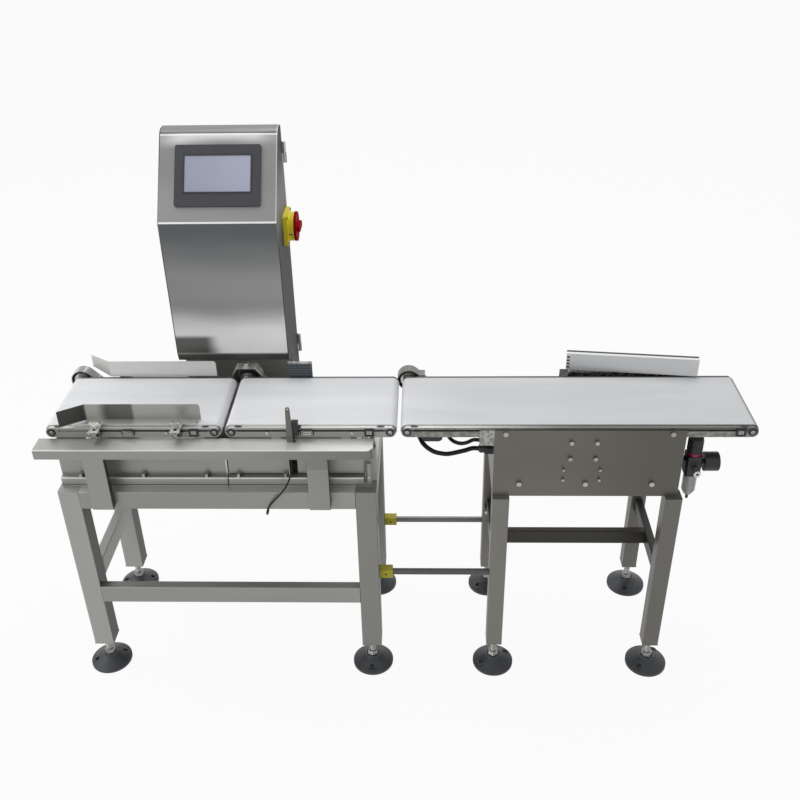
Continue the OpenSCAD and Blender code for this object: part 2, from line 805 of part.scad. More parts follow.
// Outlines of the drive covers, drawn in by a wall where they are hollow
module cover_outline(i, wall) {
    c = [roller_xs[i], axis_z];
    m = [roller_xs[i] + motor_dx, motor_z];
    wrap(c, cover_r - wall, m, motor_cover_r - wall);
    if (i == 1) {
        half = cover_r + 9 - wall;
        top = cover_r + 7 - wall;
        corners = [[-half, -20], [-half, 14], [-half + 11, top], [half - 13, top], [half, 14], [half, -20]];
        polygon([for (p = corners) c + p]);
    }
    if (i == 2) translate(c + [0, -18]) square([cover_r + 12 - wall, 32 - wall]);
}
module drive_cover(i) {
    y1 = y_rear + plate_t + cover_depth;
    difference() {
        slab_y([y_rear + plate_t + seam, y1]) cover_outline(i, 0);
        slab_y([y_rear, y1 - cover_wall]) cover_outline(i, cover_wall);
    }
    difference() {
        slab_y([y_rear, y_rear + plate_t])
            wrap([roller_xs[i], axis_z], rail_h / 2, [roller_xs[i] + motor_dx, motor_z], motor_cover_r);
        rod_y(roller_xs[i], [y_rear - 1, y_rear + plate_t + 1], axis_z, shaft_d + 6);
        rod_y(roller_xs[i] + motor_dx, [y_rear - 1, y_rear + plate_t + 1], motor_z, motor_shaft_d + 6);
    }
}
module drive_covers() {
    color(steel) for (i = [0:2]) drive_cover(i);
}

// Box of bolted plates under the reject belt, with a shelf for the arm's actuator
module box_plates() {
    front = y_front;
    inner_y = [front + seam, box_rear - box_t - seam];
    inner_x = [rf0 + box_t + seam, box_x1 - box_t - seam];
    shelf_x = [pivot[0] - shelf_reach, inner_x[1]];
    junction_y = [front - box_t, front + junction_d];
    junction_z = rail_z0 - junction_drop;
    color(dark_steel) {
        block([rf0, box_x1], [front - box_t, front], [right_top, plate_top]);
        block([rf0, box_x1], [box_rear - box_t, box_rear], [right_top, box_low]);
        block([shelf_x[0], box_x1], [box_rear - box_t, box_rear], [box_low - 1, box_top]);
        block([rf0, rf0 + box_t], inner_y, [right_top, box_low]);
        block([rf0, rf0 + box_t], [inner_y[0], y_rear], [box_low - 1, box_top]);
        block([box_x1 - box_t, box_x1], inner_y, [right_top, box_top]);
        block(inner_x, inner_y, [right_top, right_top + box_t]);
        difference() {
            union() {
                block(shelf_x, [y_rear, inner_y[1]], [box_top - box_t, box_top]);
                block(shelf_x, [y_rear, y_rear + box_t], [box_top - box_t, plate_top]);
            }
            rod_z(pivot[0], pivot[1], [box_top - 10, box_top + 10], arm_shaft_d + 12);
        }
        block([rf0 - junction_l, rf0 - seam], junction_y, [junction_z, belt_low - 3]);
        block([rf0 - junction_l, rf0 - seam], [front - box_t, front - seam], [junction_z, rail_z1 - 6]);
    }
}
module hex_bolt_y(x, y, z, d) {
    translate([x, y, z]) rotate([90, 0, 0]) cylinder(d = d, h = bolt_h, $fn = 6);
}
module hex_bolts() {
    y = y_front - box_t;
    z = right_top;
    color(steel) {
        for (x = top_bolt_xs) hex_bolt_y(x, y, plate_top - top_bolt_down, bolt_d);
        for (x = low_bolt_xs) hex_bolt_y(x, y, z + low_bolt_up, bolt_d);
        for (side = [-1, 1], up = valve_bolt_up)
            hex_bolt_y(box_mid + side * valve_bolt_dx, y, z + up, valve_bolt_d);
        for (side = [-1, 1], up = pad_bolt_up)
            hex_bolt_y(box_mid + side * pad_bolt_dx, y, z + up, small_bolt_d);
        for (x = ledge_bolts) translate([x, base_front + ledge_bolt_y, left_top + ledge_h])
            cylinder(d = bolt_d, h = bolt_h + 2, $fn = 6);
    }
}
// Rotary actuator under the shelf, and its valve behind the front plate
module arm_actuator() {
    top = box_top - box_t - seam;
    color(alu) {
        difference() {
            block([pivot[0] - actuator_l / 2, pivot[0] + actuator_l / 2],
                [pivot[1] - actuator_w / 2, pivot[1] + actuator_w / 2], [top - actuator_h, top]);
            rod_z(pivot[0], pivot[1], [top - actuator_bore, top + 1], arm_shaft_d + 2 * run);
        }
        block([box_mid - valve_w / 2, box_mid + valve_w / 2], [y_front + seam, y_front + valve_d],
            [valve_z, valve_z + valve_h]);
    }
}
// Extruded arm that swings across the reject belt
module swing_arm() {
    slot_h = 7;
    slot_d = 9;
    shaft_z = box_top - box_t - arm_shaft_in;
    color(alu) {
        translate([pivot[0], pivot[1], 0]) rotate([0, 0, -arm_rest]) slab_x([-arm_tail, arm_l - arm_tail])
            difference() {
                translate([-arm_t / 2, arm_z]) square([arm_t, arm_h]);
                for (i = [1:3]) translate([arm_t / 2 - slot_d, arm_z + i * arm_h / 4 - slot_h / 2])
                    square([slot_d + 1, slot_h]);
            }
        rod_z(pivot[0], pivot[1], [box_top + 1, arm_z + 6], arm_t - 1);
        rod_z(pivot[0], pivot[1], [shaft_z, box_top + 2], arm_shaft_d);
    }
}

// Side outline of the cabinet's upper part, drawn in by a wall
module cabinet_outline(wall, low, back) {
    lean = 90 - screen_slope;
    crease_c = [yc + cab_front + crease_r, cab_crease - crease_r * tan(lean / 2)];
    bend_c = [yc + cab_back - cab_lid + cab_bend * tan(screen_slope / 2), cab_top - cab_bend];
    steps = 8;
    polygon([
        [yc + cab_front + lip_in + wall, low], [yc + cab_front + wall, cab_bottom + lip_h],
        for (i = [0:steps]) polar(crease_c, crease_r - wall, 180 - lean * i / steps),
        for (i = [0:steps]) polar(bend_c, cab_bend - wall, 90 + screen_slope * (1 - i / steps)),
        [yc + back, cab_top - wall], [yc + back, low]
    ]);
}
module cabinet_front() {
    inner = [cab_x0 + sheet + seam, cab_x1 - sheet - seam];
    color(steel) difference() {
        slab_x(inner) difference() {
            cabinet_outline(0, cab_bottom, cab_back);
            cabinet_outline(sheet, cab_bottom - 1, cab_back + 1);
        }
        on_slope() translate([0, hmi_up, -20]) linear_extrude(40)
            square([hmi_w - 10, hmi_h - 10], center = true);
    }
}
module on_slope() {
    translate([cab_x, yc + cab_front, cab_crease]) rotate([screen_slope, 0, 0]) children();
}
module cabinet_side(x) {
    slab_x(x) {
        cabinet_outline(0, cab_bottom, cab_back);
        translate([yc + column_front, column_z]) square([column_depth, cab_bottom - column_z + 1]);
    }
}
// Cabinet sides with the hinge leaves, and the folded sheet of the column
module cabinet_sides() {
    inner = [cab_x0 + sheet + seam, cab_x1 - sheet - seam];
    color(steel) {
        cabinet_side([cab_x0, cab_x0 + sheet]);
        difference() {
            union() {
                cabinet_side([cab_x1 - sheet, cab_x1]);
                for (z = hinge_zs) {
                    block([cab_x1 - 1, cab_x1 + 2], [hinge_y - 22, yc + cab_back], [z - knuckle_l, z - seam]);
                    rod_z(hinge_x, hinge_y, [z - knuckle_l, z - seam], 2 * knuckle_r);
                    block([cab_x1, hinge_x], [hinge_y - 2, hinge_y], [z - knuckle_l, z - seam]);
                }
            }
            for (z = hinge_zs) rod_z(hinge_x, hinge_y, [z - knuckle_l - 1, z + 1], hinge_pin_d + 2 * run);
            rod_x([cab_x1 - 10, cab_x1 + 1], yc + switch_y, switch_z, drum_d / 2);
        }
        slab_x(inner) {
            translate([yc + cab_front + lip_in + sheet + seam, cab_bottom])
                square([column_front - cab_front - lip_in - seam, sheet]);
            translate([yc + column_front, column_z]) square([sheet, cab_bottom - column_z + sheet]);
            translate([yc + column_front, column_z]) square([column_depth, sheet]);
            translate([yc + cab_back - sheet, column_z]) square([sheet, door_z - column_z - 4]);
        }
    }
}
module rear_door() {
    y0 = yc + cab_back + free;
    z1 = cab_top - 4;
    color(steel) {
        block([cab_x0 + 1, cab_x1 - 1], [y0, y0 + door_t], [door_z, z1]);
        difference() {
            block([cab_x0 + sheet + 4, cab_x1 - sheet - 12], [y0 - 9, y0 + 1], [door_z + 6, z1 - 30]);
            block([cab_x0 + sheet + 6, cab_x1 - sheet - 14], [y0 - 10, y0], [door_z + 8, z1 - 32]);
        }
        for (z = hinge_zs) {
            rod_z(hinge_x, hinge_y, [z, z + knuckle_l], 2 * knuckle_r);
            block([cab_x1 - 22, hinge_x], [y0 + door_t - 1, y0 + door_t + 2], [z, z + knuckle_l]);
            rod_z(hinge_x, hinge_y, [z - knuckle_l, z + 1], hinge_pin_d);
        }
        for (z = [door_z + 150, z1 - 150]) rod_y(cab_x0 + 24, [y0, y0 + door_t + latch_h], z, 22);
    }
}
module control_modules() {
    y = yc + column_front + sheet + seam;
    face = y + backplate_t - 1;
    color(alu) block([cab_x0 + sheet + seam, cab_x1 - sheet - seam], [y, y + backplate_t],
        [column_z + backplate_up, cab_crease - backplate_up]);
    color(dark_steel) {
        block([cab_x - drive_gap - drive_w, cab_x - drive_gap], [face, y + drive_d],
            [cab_bottom + backplate_up, cab_bottom + backplate_up + drive_h]);
        for (i = [0:2]) translate([cab_x + supply_pitch * i, 0, 0])
            block([0, supply_w], [face, y + supply_d],
                [cab_bottom + backplate_up, cab_bottom + backplate_up + supply_h]);
        block([cab_x - terminal_w / 2, cab_x + terminal_w / 2], [face, y + terminal_d],
            [cab_bottom - backplate_up, cab_bottom - backplate_up + terminal_h]);
    }
}
module hmi_bezel() {
    color("#3a3d42") on_slope() translate([0, hmi_up, 0]) difference() {
        union() {
            linear_extrude(bezel_t) round_rect(hmi_w, hmi_h, 5);
            translate([0, 0, -36]) linear_extrude(37) square([hmi_w - 12, hmi_h - 12], center = true);
        }
        translate([0, screen_up, bezel_t - bezel_recess]) linear_extrude(5)
            square([screen_w + 2 * seam, screen_h + 2 * seam], center = true);
    }
}
module hmi_screen() {
    color("#9aa0b8") on_slope() translate([0, hmi_up + screen_up, bezel_t - bezel_recess])
        linear_extrude(bezel_recess - 0.5) square([screen_w, screen_h], center = true);
}
module on_switch() {
    translate([cab_x1, yc + switch_y, switch_z]) rotate([90, 0, 90]) children();
}
module switch_base() {
    color(yellow) on_switch() difference() {
        union() {
            linear_extrude(switch_plate_t) round_rect(switch_s, switch_s, 7);
            cylinder(d = drum_d, h = switch_plate_t + drum_l);
            translate([0, 0, -sheet - 1]) cylinder(d = drum_d / 2 - 0.4, h = sheet + 2);
            translate([0, 0, -sheet - seam - 42]) linear_extrude(42) square(46, center = true);
        }
        translate([0, 0, switch_plate_t + drum_l - 14]) cylinder(d = switch_spindle_d + 2 * run, h = 20);
    }
}
module switch_handle() {
    z = switch_plate_t + drum_l + free;
    color("#c4151b") on_switch() {
        translate([0, 0, z]) cylinder(d = handle_d, h = handle_t);
        translate([0, 0, z + handle_t - 1]) linear_extrude(grip_h) round_rect(grip_l, grip_w, 4);
        translate([0, 0, z - 10]) cylinder(d = switch_spindle_d, h = 11);
    }
}

// Bracket and photo sensor on the guard
module photo_sensor() {
    y = [bracket_y - bracket_t / 2, bracket_y + bracket_t / 2];
    top = guard_top + bracket_h - bracket_w / 2;
    foot = [sensor_x - bracket_foot / 2, sensor_x + bracket_foot / 2];
    s = sensor_size;
    x0 = sensor_x + bracket_w / 2;
    y0 = y[1] + seam;
    z0 = belt_top - sensor_drop;
    color(dark_steel) difference() {
        union() {
            slab_y(y) hull() {
                translate([foot[0], guard_top]) square([bracket_foot, 3]);
                translate([sensor_x, top]) circle(d = bracket_w);
            }
            block([foot[0], sensor_x + 2], [y[0], y[1] + foot_back], [guard_top, guard_top + 3]);
        }
        rod_y(sensor_x, [y[0] - 1, y[1] + 1], top, 5);
    }
    color(black) {
        block([x0, x0 + s[0]], [y0, y0 + s[1]], [z0, z0 + s[2]]);
        rod_y(x0 + s[0] / 2, [y0 + s[1] - 1, y0 + s[1] + 2], z0 + s[2] - 8, 8);
        rod_x([x0 + s[0] - 1, x0 + s[0] + 6], y0 + s[1] / 2, z0 + s[2] * 0.6, sensor_knob_d);
    }
}
// Ribbed reflector on a plate behind the weighing belt
module reflector() {
    x = [sensor_x - reflector_w / 2, sensor_x + reflector_w / 2];
    z0 = rail_z1 + 3;
    ribs = 8;
    pitch = reflector_h / ribs;
    color(dark_steel) {
        block(x, [y_rear, y_rear + 2], [axis_z - 6, z0 + reflector_h]);
        block(x, [y_rear - 4, y_rear + 1], [z0, z0 + reflector_h]);
        for (i = [0:ribs - 1])
            block(x, [y_rear - 6, y_rear - 3], [z0 + i * pitch + 1, z0 + (i + 1) * pitch - 1]);
    }
}

// A tube swept along a route, as one closed solid
function unit(v) = v / norm(v);
function route_dir(p, i) = unit(p[min(i + 1, len(p) - 1)] - p[max(i - 1, 0)]);
function ring_at(p, i, r) =
    let (t = route_dir(p, i), a = unit(cross(t, abs(t[0]) > 0.9 ? [0, 1, 0] : [1, 0, 0])), b = cross(t, a))
    [for (k = [0:cord_sides - 1])
        p[i] + r * (a * cos(360 * k / cord_sides) + b * sin(360 * k / cord_sides))];
module cord(p, d) {
    n = cord_sides;
    rings = [for (i = [0:len(p) - 1]) each ring_at(p, i, d / 2)];
    last = (len(p) - 1) * n;
    polyhedron(rings, concat(
        [[for (k = [0:n - 1]) k]],
        [for (i = [0:len(p) - 2], k = [0:n - 1])
            [i * n + k, (i + 1) * n + k, (i + 1) * n + (k + 1) % n, i * n + (k + 1) % n]],
        [[for (k = [n - 1:-1:0]) last + k]]
    ));
}
module sensor_cable() { color(black) cord(sensor_route, sensor_cord_d); }
module motor_cable() { color(black) cord(motor_route, motor_cord_d); }
module signal_cable() { color(black) cord(signal_route, signal_cord_d); }
module cable_glands() {
    color(black) translate([rf0, gland_y, gland_z]) rotate([0, -90, 0]) {
        cylinder(d = gland_d, h = gland_base, $fn = 6);
        translate([0, 0, gland_base - 1]) cylinder(d = gland_cap_d, h = gland_l - gland_base - 2);
        translate([0, 0, gland_l - 4]) cylinder(d1 = gland_cap_d, d2 = gland_cap_d - 5, h = 4);
    }
}

// Filter regulator with its bracket, gauge and air fitting
module regulator_body() {
    side = reg_x + reg_d / 2;
    gauge_z = reg_z[2] + gauge_up;
    color(black) {
        difference() {
            union() {
                translate([reg_x, reg_y, reg_z[2]]) linear_extrude(reg_z[3] - reg_z[2])
                    round_rect(reg_d, reg_d, 6);
                rod_z(reg_x, reg_y, [reg_z[3] - 1, reg_z[4]], reg_d - 2);
            }
            rod_z(reg_x, reg_y, [reg_z[4] - 14, reg_z[4] + 1], 14 + 2 * run);
        }
        rod_x([side - 1, side + 8], reg_y, gauge_z, 12);
        rod_x([side + 7, side + 7 + gauge_l], reg_y, gauge_z, gauge_d);
        rod_y(reg_x + 3, [reg_y - reg_d / 2 - 18, reg_y - reg_d / 2 + 1], reg_z[2] + 22, fitting_d);
        block([box_x1, reg_x - reg_d / 2 + 1], [reg_y - 11, reg_y + 11], [gauge_z - 9, gauge_z + 9]);
    }
}
module regulator_bowl() {
    color("#c9cdc6") {
        translate([reg_x, reg_y, 0]) rotate_extrude() polygon([[0, reg_z[0]], [3.5, reg_z[0]],
            [3.5, reg_z[1] - 2], [10, reg_z[1]], [reg_d / 2 - 2, reg_z[1] + 12], [reg_d / 2 - 2, reg_z[2]],
            [0, reg_z[2]]]);
    }
}
module regulator_knob() {
    color(black) {
        rod_z(reg_x, reg_y, [reg_z[4] + free, reg_z[5]], reg_d - 2);
        rod_z(reg_x, reg_y, [reg_z[4] - 12, reg_z[4] + 1], 14);
    }
}

// Adjustable infeed guide: bent plate with a flange and two slotted tabs; s = -1 front, 1 rear
module guide(s, face, rise) {
    x0 = guide_x[0];
    x1 = guide_x[1];
    corner = guide_corner;
    tip_z = guide_z + rise;
    top = guide_z + guide_h;
    outer = face + s * guide_flange;
    tab_end = outer + s * tab_l;
    slot = guide_travel + stud_d / 2 + 1;
    y_span = [min(face, face + s * guide_t), max(face, face + s * guide_t)];
    color(steel) difference() {
        union() {
            slab_y(y_span) difference() {
                translate([x0, guide_z]) square([x1 - x0, guide_h]);
                translate([x1 - corner, top - corner]) difference() {
                    square(corner + 1);
                    circle(corner);
                }
            }
            translate([x0, 0, 0]) intersection() {
                linear_extrude(top) polygon([[0, face], [0.5, face], [0.5, face + s * guide_t],
                    [0, face + s * guide_t], [-flare_l, face + s * (flare_d + guide_t)],
                    [-flare_l, face + s * flare_d]]);
                slab_y([yc - belt_w, yc + belt_w]) polygon([[1, guide_z], [0, guide_z], [-flare_l, tip_z],
                    [-flare_l, top], [1, top]]);
            }
            block([x0, x1 - corner], [min(face, outer), max(face, outer)], [guide_z, guide_z + guide_t]);
            for (x = clamp_xs) block([x - tab_w / 2, x + tab_w / 2],
                [min(outer, tab_end) - 1, max(outer, tab_end) + 1], [guide_z, guide_z + guide_t]);
        }
        for (x = clamp_xs) block([x - stud_d / 2 - 0.5, x + stud_d / 2 + 0.5],
            [stud_y(s) - slot, stud_y(s) + slot], [guide_z - 1, guide_z + guide_t + 1]);
    }
}
function clamp_depth(s) = s > 0 ? rear_clamp_d : clamp_d;
function stud_y(s) = yc + s * (rail_out + clamp_depth(s) / 2);
module front_guide() { guide(-1, yc - guide_in, 0); }
module rear_guide() { guide(1, yc + rear_guide_y, flare_rise); }
// Clamp blocks on the infeed rails, with studs and wing nuts
module guide_clamps() {
    top = guide_z + guide_t + free;
    color(steel) for (s = [-1, 1], x = clamp_xs) {
        y = stud_y(s);
        face = yc + s * (rail_out + seam);
        far = yc + s * (rail_out + clamp_depth(s));
        block([x - clamp_w / 2, x + clamp_w / 2], [min(face, far), max(face, far)],
            [rail_z0 + clamp_up, guide_z - free]);
        rod_z(x, y, [guide_z - 2, top + stud_rise], stud_d);
        rod_z(x, y, [top, top + wing_hub_h], wing_hub_d);
        for (w = [0, 180]) translate([x, y, top + wing_hub_h / 2]) rotate([0, 0, w])
            rotate([0, -wing_tilt, 0]) translate([stud_d / 2, -wing_t / 2, -wing_t / 2])
                cube([wing_l - stud_d / 2, wing_t, wing_h]);
    }
}

left_legs();
left_beams();
right_legs();
right_beams();
tie_rods();
rod_sockets();
front_guard();
infeed_base();
weigh_base();
load_cell();
hex_bolts();
infeed_frame();
weigh_frame();
reject_frame();
infeed_belt();
weigh_belt();
reject_belt();
drive_covers();
drive_motors();
timing_belts();
box_plates();
arm_actuator();
cabinet_sides();
cabinet_front();
control_modules();
hmi_bezel();
hmi_screen();
switch_base();
photo_sensor();
reflector();
sensor_cable();
motor_cable();
signal_cable();
cable_glands();
regulator_body();
regulator_bowl();
guide_clamps();
infeed_drive_roller();
infeed_tail_roller();
weigh_drive_roller();
weigh_tail_roller();
reject_drive_roller();
reject_tail_roller();
infeed_motor_pulley();
weigh_motor_pulley();
reject_motor_pulley();
swing_arm();
switch_handle();
front_guide();
rear_guide();
regulator_knob();
rear_door();
foot_infeed_front();
foot_infeed_rear();
foot_weigh_front();
foot_weigh_rear();
foot_reject_front();
foot_reject_rear();
foot_exit_front();
foot_exit_rear();
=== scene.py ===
import math

import bmesh
import bpy
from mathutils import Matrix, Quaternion, Vector


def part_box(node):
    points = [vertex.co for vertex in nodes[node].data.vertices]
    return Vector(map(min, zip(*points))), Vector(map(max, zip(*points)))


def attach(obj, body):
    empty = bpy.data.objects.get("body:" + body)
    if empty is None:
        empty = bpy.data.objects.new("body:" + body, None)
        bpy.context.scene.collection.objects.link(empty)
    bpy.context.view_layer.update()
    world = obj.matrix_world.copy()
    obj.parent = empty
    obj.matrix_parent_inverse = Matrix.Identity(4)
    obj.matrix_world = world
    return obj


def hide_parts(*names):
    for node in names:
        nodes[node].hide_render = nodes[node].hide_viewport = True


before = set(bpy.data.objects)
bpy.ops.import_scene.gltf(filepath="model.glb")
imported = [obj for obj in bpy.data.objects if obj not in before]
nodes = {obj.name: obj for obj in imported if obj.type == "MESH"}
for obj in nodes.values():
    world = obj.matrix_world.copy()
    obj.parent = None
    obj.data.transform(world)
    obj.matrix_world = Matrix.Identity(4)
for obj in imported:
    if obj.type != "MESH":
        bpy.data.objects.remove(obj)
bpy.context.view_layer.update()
scene = bpy.context.scene
mm = 0.001
print("frame loaded:", len(nodes), "solids")

# camera at the photograph's viewing angle
cameraView = {"place": (0.07716, -2.01305, 1.9389), "turn": (58.427, 0.9202, 1.3446),
              "lens": 43.16, "sensor": 36}
camera = bpy.data.objects.new("camera", bpy.data.cameras.new("camera"))
scene.collection.objects.link(camera)
camera.location = cameraView["place"]
camera.rotation_euler = [math.radians(a) for a in cameraView["turn"]]
camera.data.lens = cameraView["lens"]
camera.data.sensor_width = cameraView["sensor"]
scene.camera = camera
scene.view_settings.view_transform = "Standard"
print("camera set")


# one socket of a finish, so that shader maths reads as plain expressions
class Wire:
    def __init__(self, finish, socket):
        self.finish, self.socket = finish, socket

    def math(self, operation, first, second):
        return self.finish.node("ShaderNodeMath", {"operation": operation}, {0: first, 1: second})

    def __add__(self, other):
        return self.math("ADD", self, other)

    def __radd__(self, other):
        return self.math("ADD", other, self)

    def __sub__(self, other):
        return self.math("SUBTRACT", self, other)

    def __rsub__(self, other):
        return self.math("SUBTRACT", other, self)

    def __mul__(self, other):
        return self.math("MULTIPLY", self, other)

    def __rmul__(self, other):
        return self.math("MULTIPLY", other, self)

    def __gt__(self, other):
        return self.math("GREATER_THAN", self, other)

    def __lt__(self, other):
        return self.math("LESS_THAN", self, other)


class Finish:
    def __init__(self, name, owner=None):
        self.material = owner or bpy.data.materials.new(name)
        self.material.use_nodes = True
        self.tree = self.material.node_tree
        self.shader = self.tree.nodes.get("Principled BSDF")
        self.position = self.node("ShaderNodeTexCoord", {}, {}, "Object")

    def node(self, kind, settings, inputs, output=0):
        made = self.tree.nodes.new(kind)
        for key, value in settings.items():
            setattr(made, key, value)
        for key, value in inputs.items():
            if isinstance(value, Wire):
                self.tree.links.new(value.socket, made.inputs[key])
            else:
                made.inputs[key].default_value = value
        return Wire(self, made.outputs[output])

    def set(self, **values):
        for key, value in values.items():
            self.feed(key.replace("_", " ").title().replace("Ior", "IOR"), value)
        return self

    def feed(self, key, value):
        if isinstance(value, Wire):
            self.tree.links.new(value.socket, self.shader.inputs[key])
        else:
            self.shader.inputs[key].default_value = value

    def along(self, axis):
        parts = self.tree.nodes.get("axes")
        if not parts:
            self.node("ShaderNodeSeparateXYZ", {"name": "axes"}, {0: self.position})
            parts = self.tree.nodes["axes"]
        return Wire(self, parts.outputs[axis])

    def axes(self):
        return [self.along(axis) for axis in "XYZ"]

    def noise(self, stretch, scale, detail, rough=0.5):
        spread = self.node("ShaderNodeMapping", {}, {"Vector": self.position, "Scale": stretch})
        return self.node("ShaderNodeTexNoise", {}, {"Vector": spread, "Scale": scale, "Detail": detail,
                                                    "Roughness": rough})

    def between(self, low, high, value):
        return self.node("ShaderNodeMapRange", {"interpolation_type": "SMOOTHSTEP"},
                         {"Value": value, "From Min": low, "From Max": high})

    def mix(self, factor, first, second):
        return self.node("ShaderNodeMix", {"data_type": "RGBA"}, {0: factor, 6: first, 7: second}, 2)

    def bump(self, height, depth, strength):
        self.feed("Normal", self.node("ShaderNodeBump", {}, {"Height": height, "Distance": depth,
                                                             "Strength": strength}))
        return self


def tint(code, gain=1.0):
    # a hex colour as linear light
    parts = [int(code[i:i + 2], 16) / 255 for i in (1, 3, 5)]
    return tuple(gain * (c / 12.92 if c < 0.04045 else ((c + 0.055) / 1.055) ** 2.4) for c in parts) + (1,)


# three cords, on the same routes as the solids that they replace
cordPlan = {
    "sensorCord": {"node": "sensor_cable", "diameter": 4, "stiffness": "medium", "route": [
        (-227, -202, 732), (-228, -205, 716), (-231, -209, 698), (-234, -213, 680), (-235, -217, 662),
        (-237, -220, 644), (-241, -222, 627), (-248, -223, 610), (-257, -224, 594),
        (-268, -224, 579), (-280, -224, 565), (-291, -223, 551), (-300, -221, 535), (-305, -216, 518),
        (-306, -203, 506), (-307, -185, 502), (-307, -169, 510), (-307, -159, 526), (-307, -155, 543),
        (-307, -154, 562), (-307, -154, 580)]},
    "motorCord": {"node": "motor_cable", "diameter": 11, "stiffness": "stiff", "route": [
        (66, -48, 686), (66, -62, 686), (61, -77, 681), (58, -90, 674), (58, -103, 666), (63, -116, 659),
        (71, -128, 654), (81, -137, 650), (94, -144, 646), (109, -146, 643), (124, -147, 642),
        (139, -146, 644), (153, -145, 647), (168, -143, 650), (183, -141, 654), (198, -141, 654)]},
    "signalCord": {"node": "signal_cable", "diameter": 9, "stiffness": "medium", "route": [
        (104, -48, 690), (104, -61, 690), (109, -75, 693), (116, -87, 696), (121, -100, 698),
        (123, -114, 699), (123, -128, 699), (124, -142, 698), (127, -155, 697), (134, -167, 695),
        (144, -177, 695), (156, -184, 697), (169, -187, 702), (182, -186, 708), (196, -186, 708)]},
}


def layCord(name, plan):
    curve = bpy.data.curves.new(name, "CURVE")
    curve.dimensions = "3D"
    curve.bevel_depth = plan["diameter"] / 2 * mm
    curve.bevel_resolution = 5
    curve.use_fill_caps = True
    curve.resolution_u = 6
    spline = curve.splines.new("BEZIER")
    spline.bezier_points.add(len(plan["route"]) - 1)
    for point, spot in zip(spline.bezier_points, plan["route"]):
        point.co = Vector(spot) * mm
        point.handle_left_type = point.handle_right_type = "AUTO"
    cord = bpy.data.objects.new(name, curve)
    scene.collection.objects.link(cord)
    cord.data.materials.append(cordSheath.material)
    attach(cord, "machine")
    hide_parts(plan["node"])
    length = spline.calc_length(resolution=12)
    return round(length, 3)


cordSheath = Finish("cordSheath")
sheathNoise = cordSheath.noise((1, 1, 1), 260, 4)
cordSheath.feed("Specular IOR Level", 0.25)
cordSheath.set(base_color=cordSheath.mix(sheathNoise, tint("#0d0e10"), tint("#18191b")),
               roughness=0.42 + 0.2 * sheathNoise).bump(sheathNoise, 0.0004, 0.4)
print("cords:", {name: layCord(name, plan) for name, plan in cordPlan.items()})


# finishes for the solids: brush lines and clouds, each as scale across the grain and along it
brush = {"lines": (1500.0, 9.0), "clouds": (6.0, 1.4), "depth": 0.0002, "strength": 0.2}


def brushedSteel(name, color, grain, rough=0.36, metal=0.5, vary=0.1, shade=None, edge=0.55):
    # grain: the axis that the brush lines run along; shade: places where the sheet is darker or lighter, as
    # painted light and shade and as mottle of its own
    finish = Finish(name)
    lineScale, cloudScale = [[along if axis == grain else across for axis in "xyz"]
                             for across, along in (brush["lines"], brush["clouds"])]
    lines = finish.noise(lineScale, 1, 3, 0.6)
    cloud = finish.noise(cloudScale, 1, 2, 0.4)
    tone = finish.between(0.2, 0.8, 0.5 + (lines - 0.5) * 0.3 + (cloud - 0.5) * 1.1)
    base = finish.mix(tone, tint(color, 1 - vary), tint(color, 1 + vary))
    for factor, towards in shade(finish) if shade else []:
        base = finish.mix(factor, base, tint(towards))
    finish.set(base_color=base, roughness=rough + (lines - 0.5) * 0.16 + (cloud - 0.5) * 0.12,
               metallic=metal, specular_tint=(edge, edge, edge, 1))
    return finish.bump(lines, brush["depth"], brush["strength"])


mould = {"shade": 14, "depth": 0.0004, "strength": 0.35}


def moulded(name, light, dark, rough=0.45, grain=420.0, gloss=0.5):
    # plastic or paint with a pebbled skin and a slow change of shade
    finish = Finish(name)
    pebble = finish.noise((1, 1, 1), grain, 3)
    shade = finish.noise((1, 1, 1), mould["shade"], 2)
    finish.set(base_color=finish.mix(shade, tint(dark), tint(light)), roughness=rough + (pebble - 0.5) * 0.2)
    finish.feed("Specular IOR Level", gloss)
    return finish.bump(pebble, mould["depth"], mould["strength"])


def legShade(finish):
    # painted shade: the legs by the weighing belt, and the faces away from the light, are darker
    x = finish.along("X")
    away = (x > -0.7479) * (x < -0.7) + (x > -0.0429)
    return [(finish.between(-0.5, -0.2, x) * 0.8, "#85847f"), (away * 0.95, "#3d3c39")]


def guardShade(finish):
    # painted light and shade: a top painted brighter to the right, a painted highlight on the fold, painted
    # shade that deepens to the right, more on the upper part, and the right faces of the posts in painted shade
    x, y, z = finish.axes()
    away = ((x > -0.6636) * (x < -0.6624) + (x > -0.1496) * (x < -0.1484)) * (z < 0.69)
    top = (z > 0.7185) * (0.2 + 0.7 * finish.between(-0.74, -0.5, x))
    fold = (y < -0.2432) * (z > 0.7168)
    return [(finish.between(-0.5, -0.05, x) * (0.4 + 0.35 * (z > 0.66)), "#767470"), (top, "#e2e1de"),
            (fold * 0.85, "#f4f4f2"), (away * 0.85, "#33322f")]


def frontGuideShade(finish):
    # painted reflection: the flare and a stretch of the plate are painted darker, as they mirror darker things,
    # and painted light on the flange
    x, z = finish.along("X"), finish.along("Z")
    flare = 1 - finish.between(-0.712, -0.704, x)
    stretch = finish.between(-0.68, -0.655, x) * (1 - finish.between(-0.602, -0.594, x))
    return [(0.88 * flare + 0.7 * stretch, "#272724"), ((z < 0.7543) * 0.7, "#cfcfcb")]


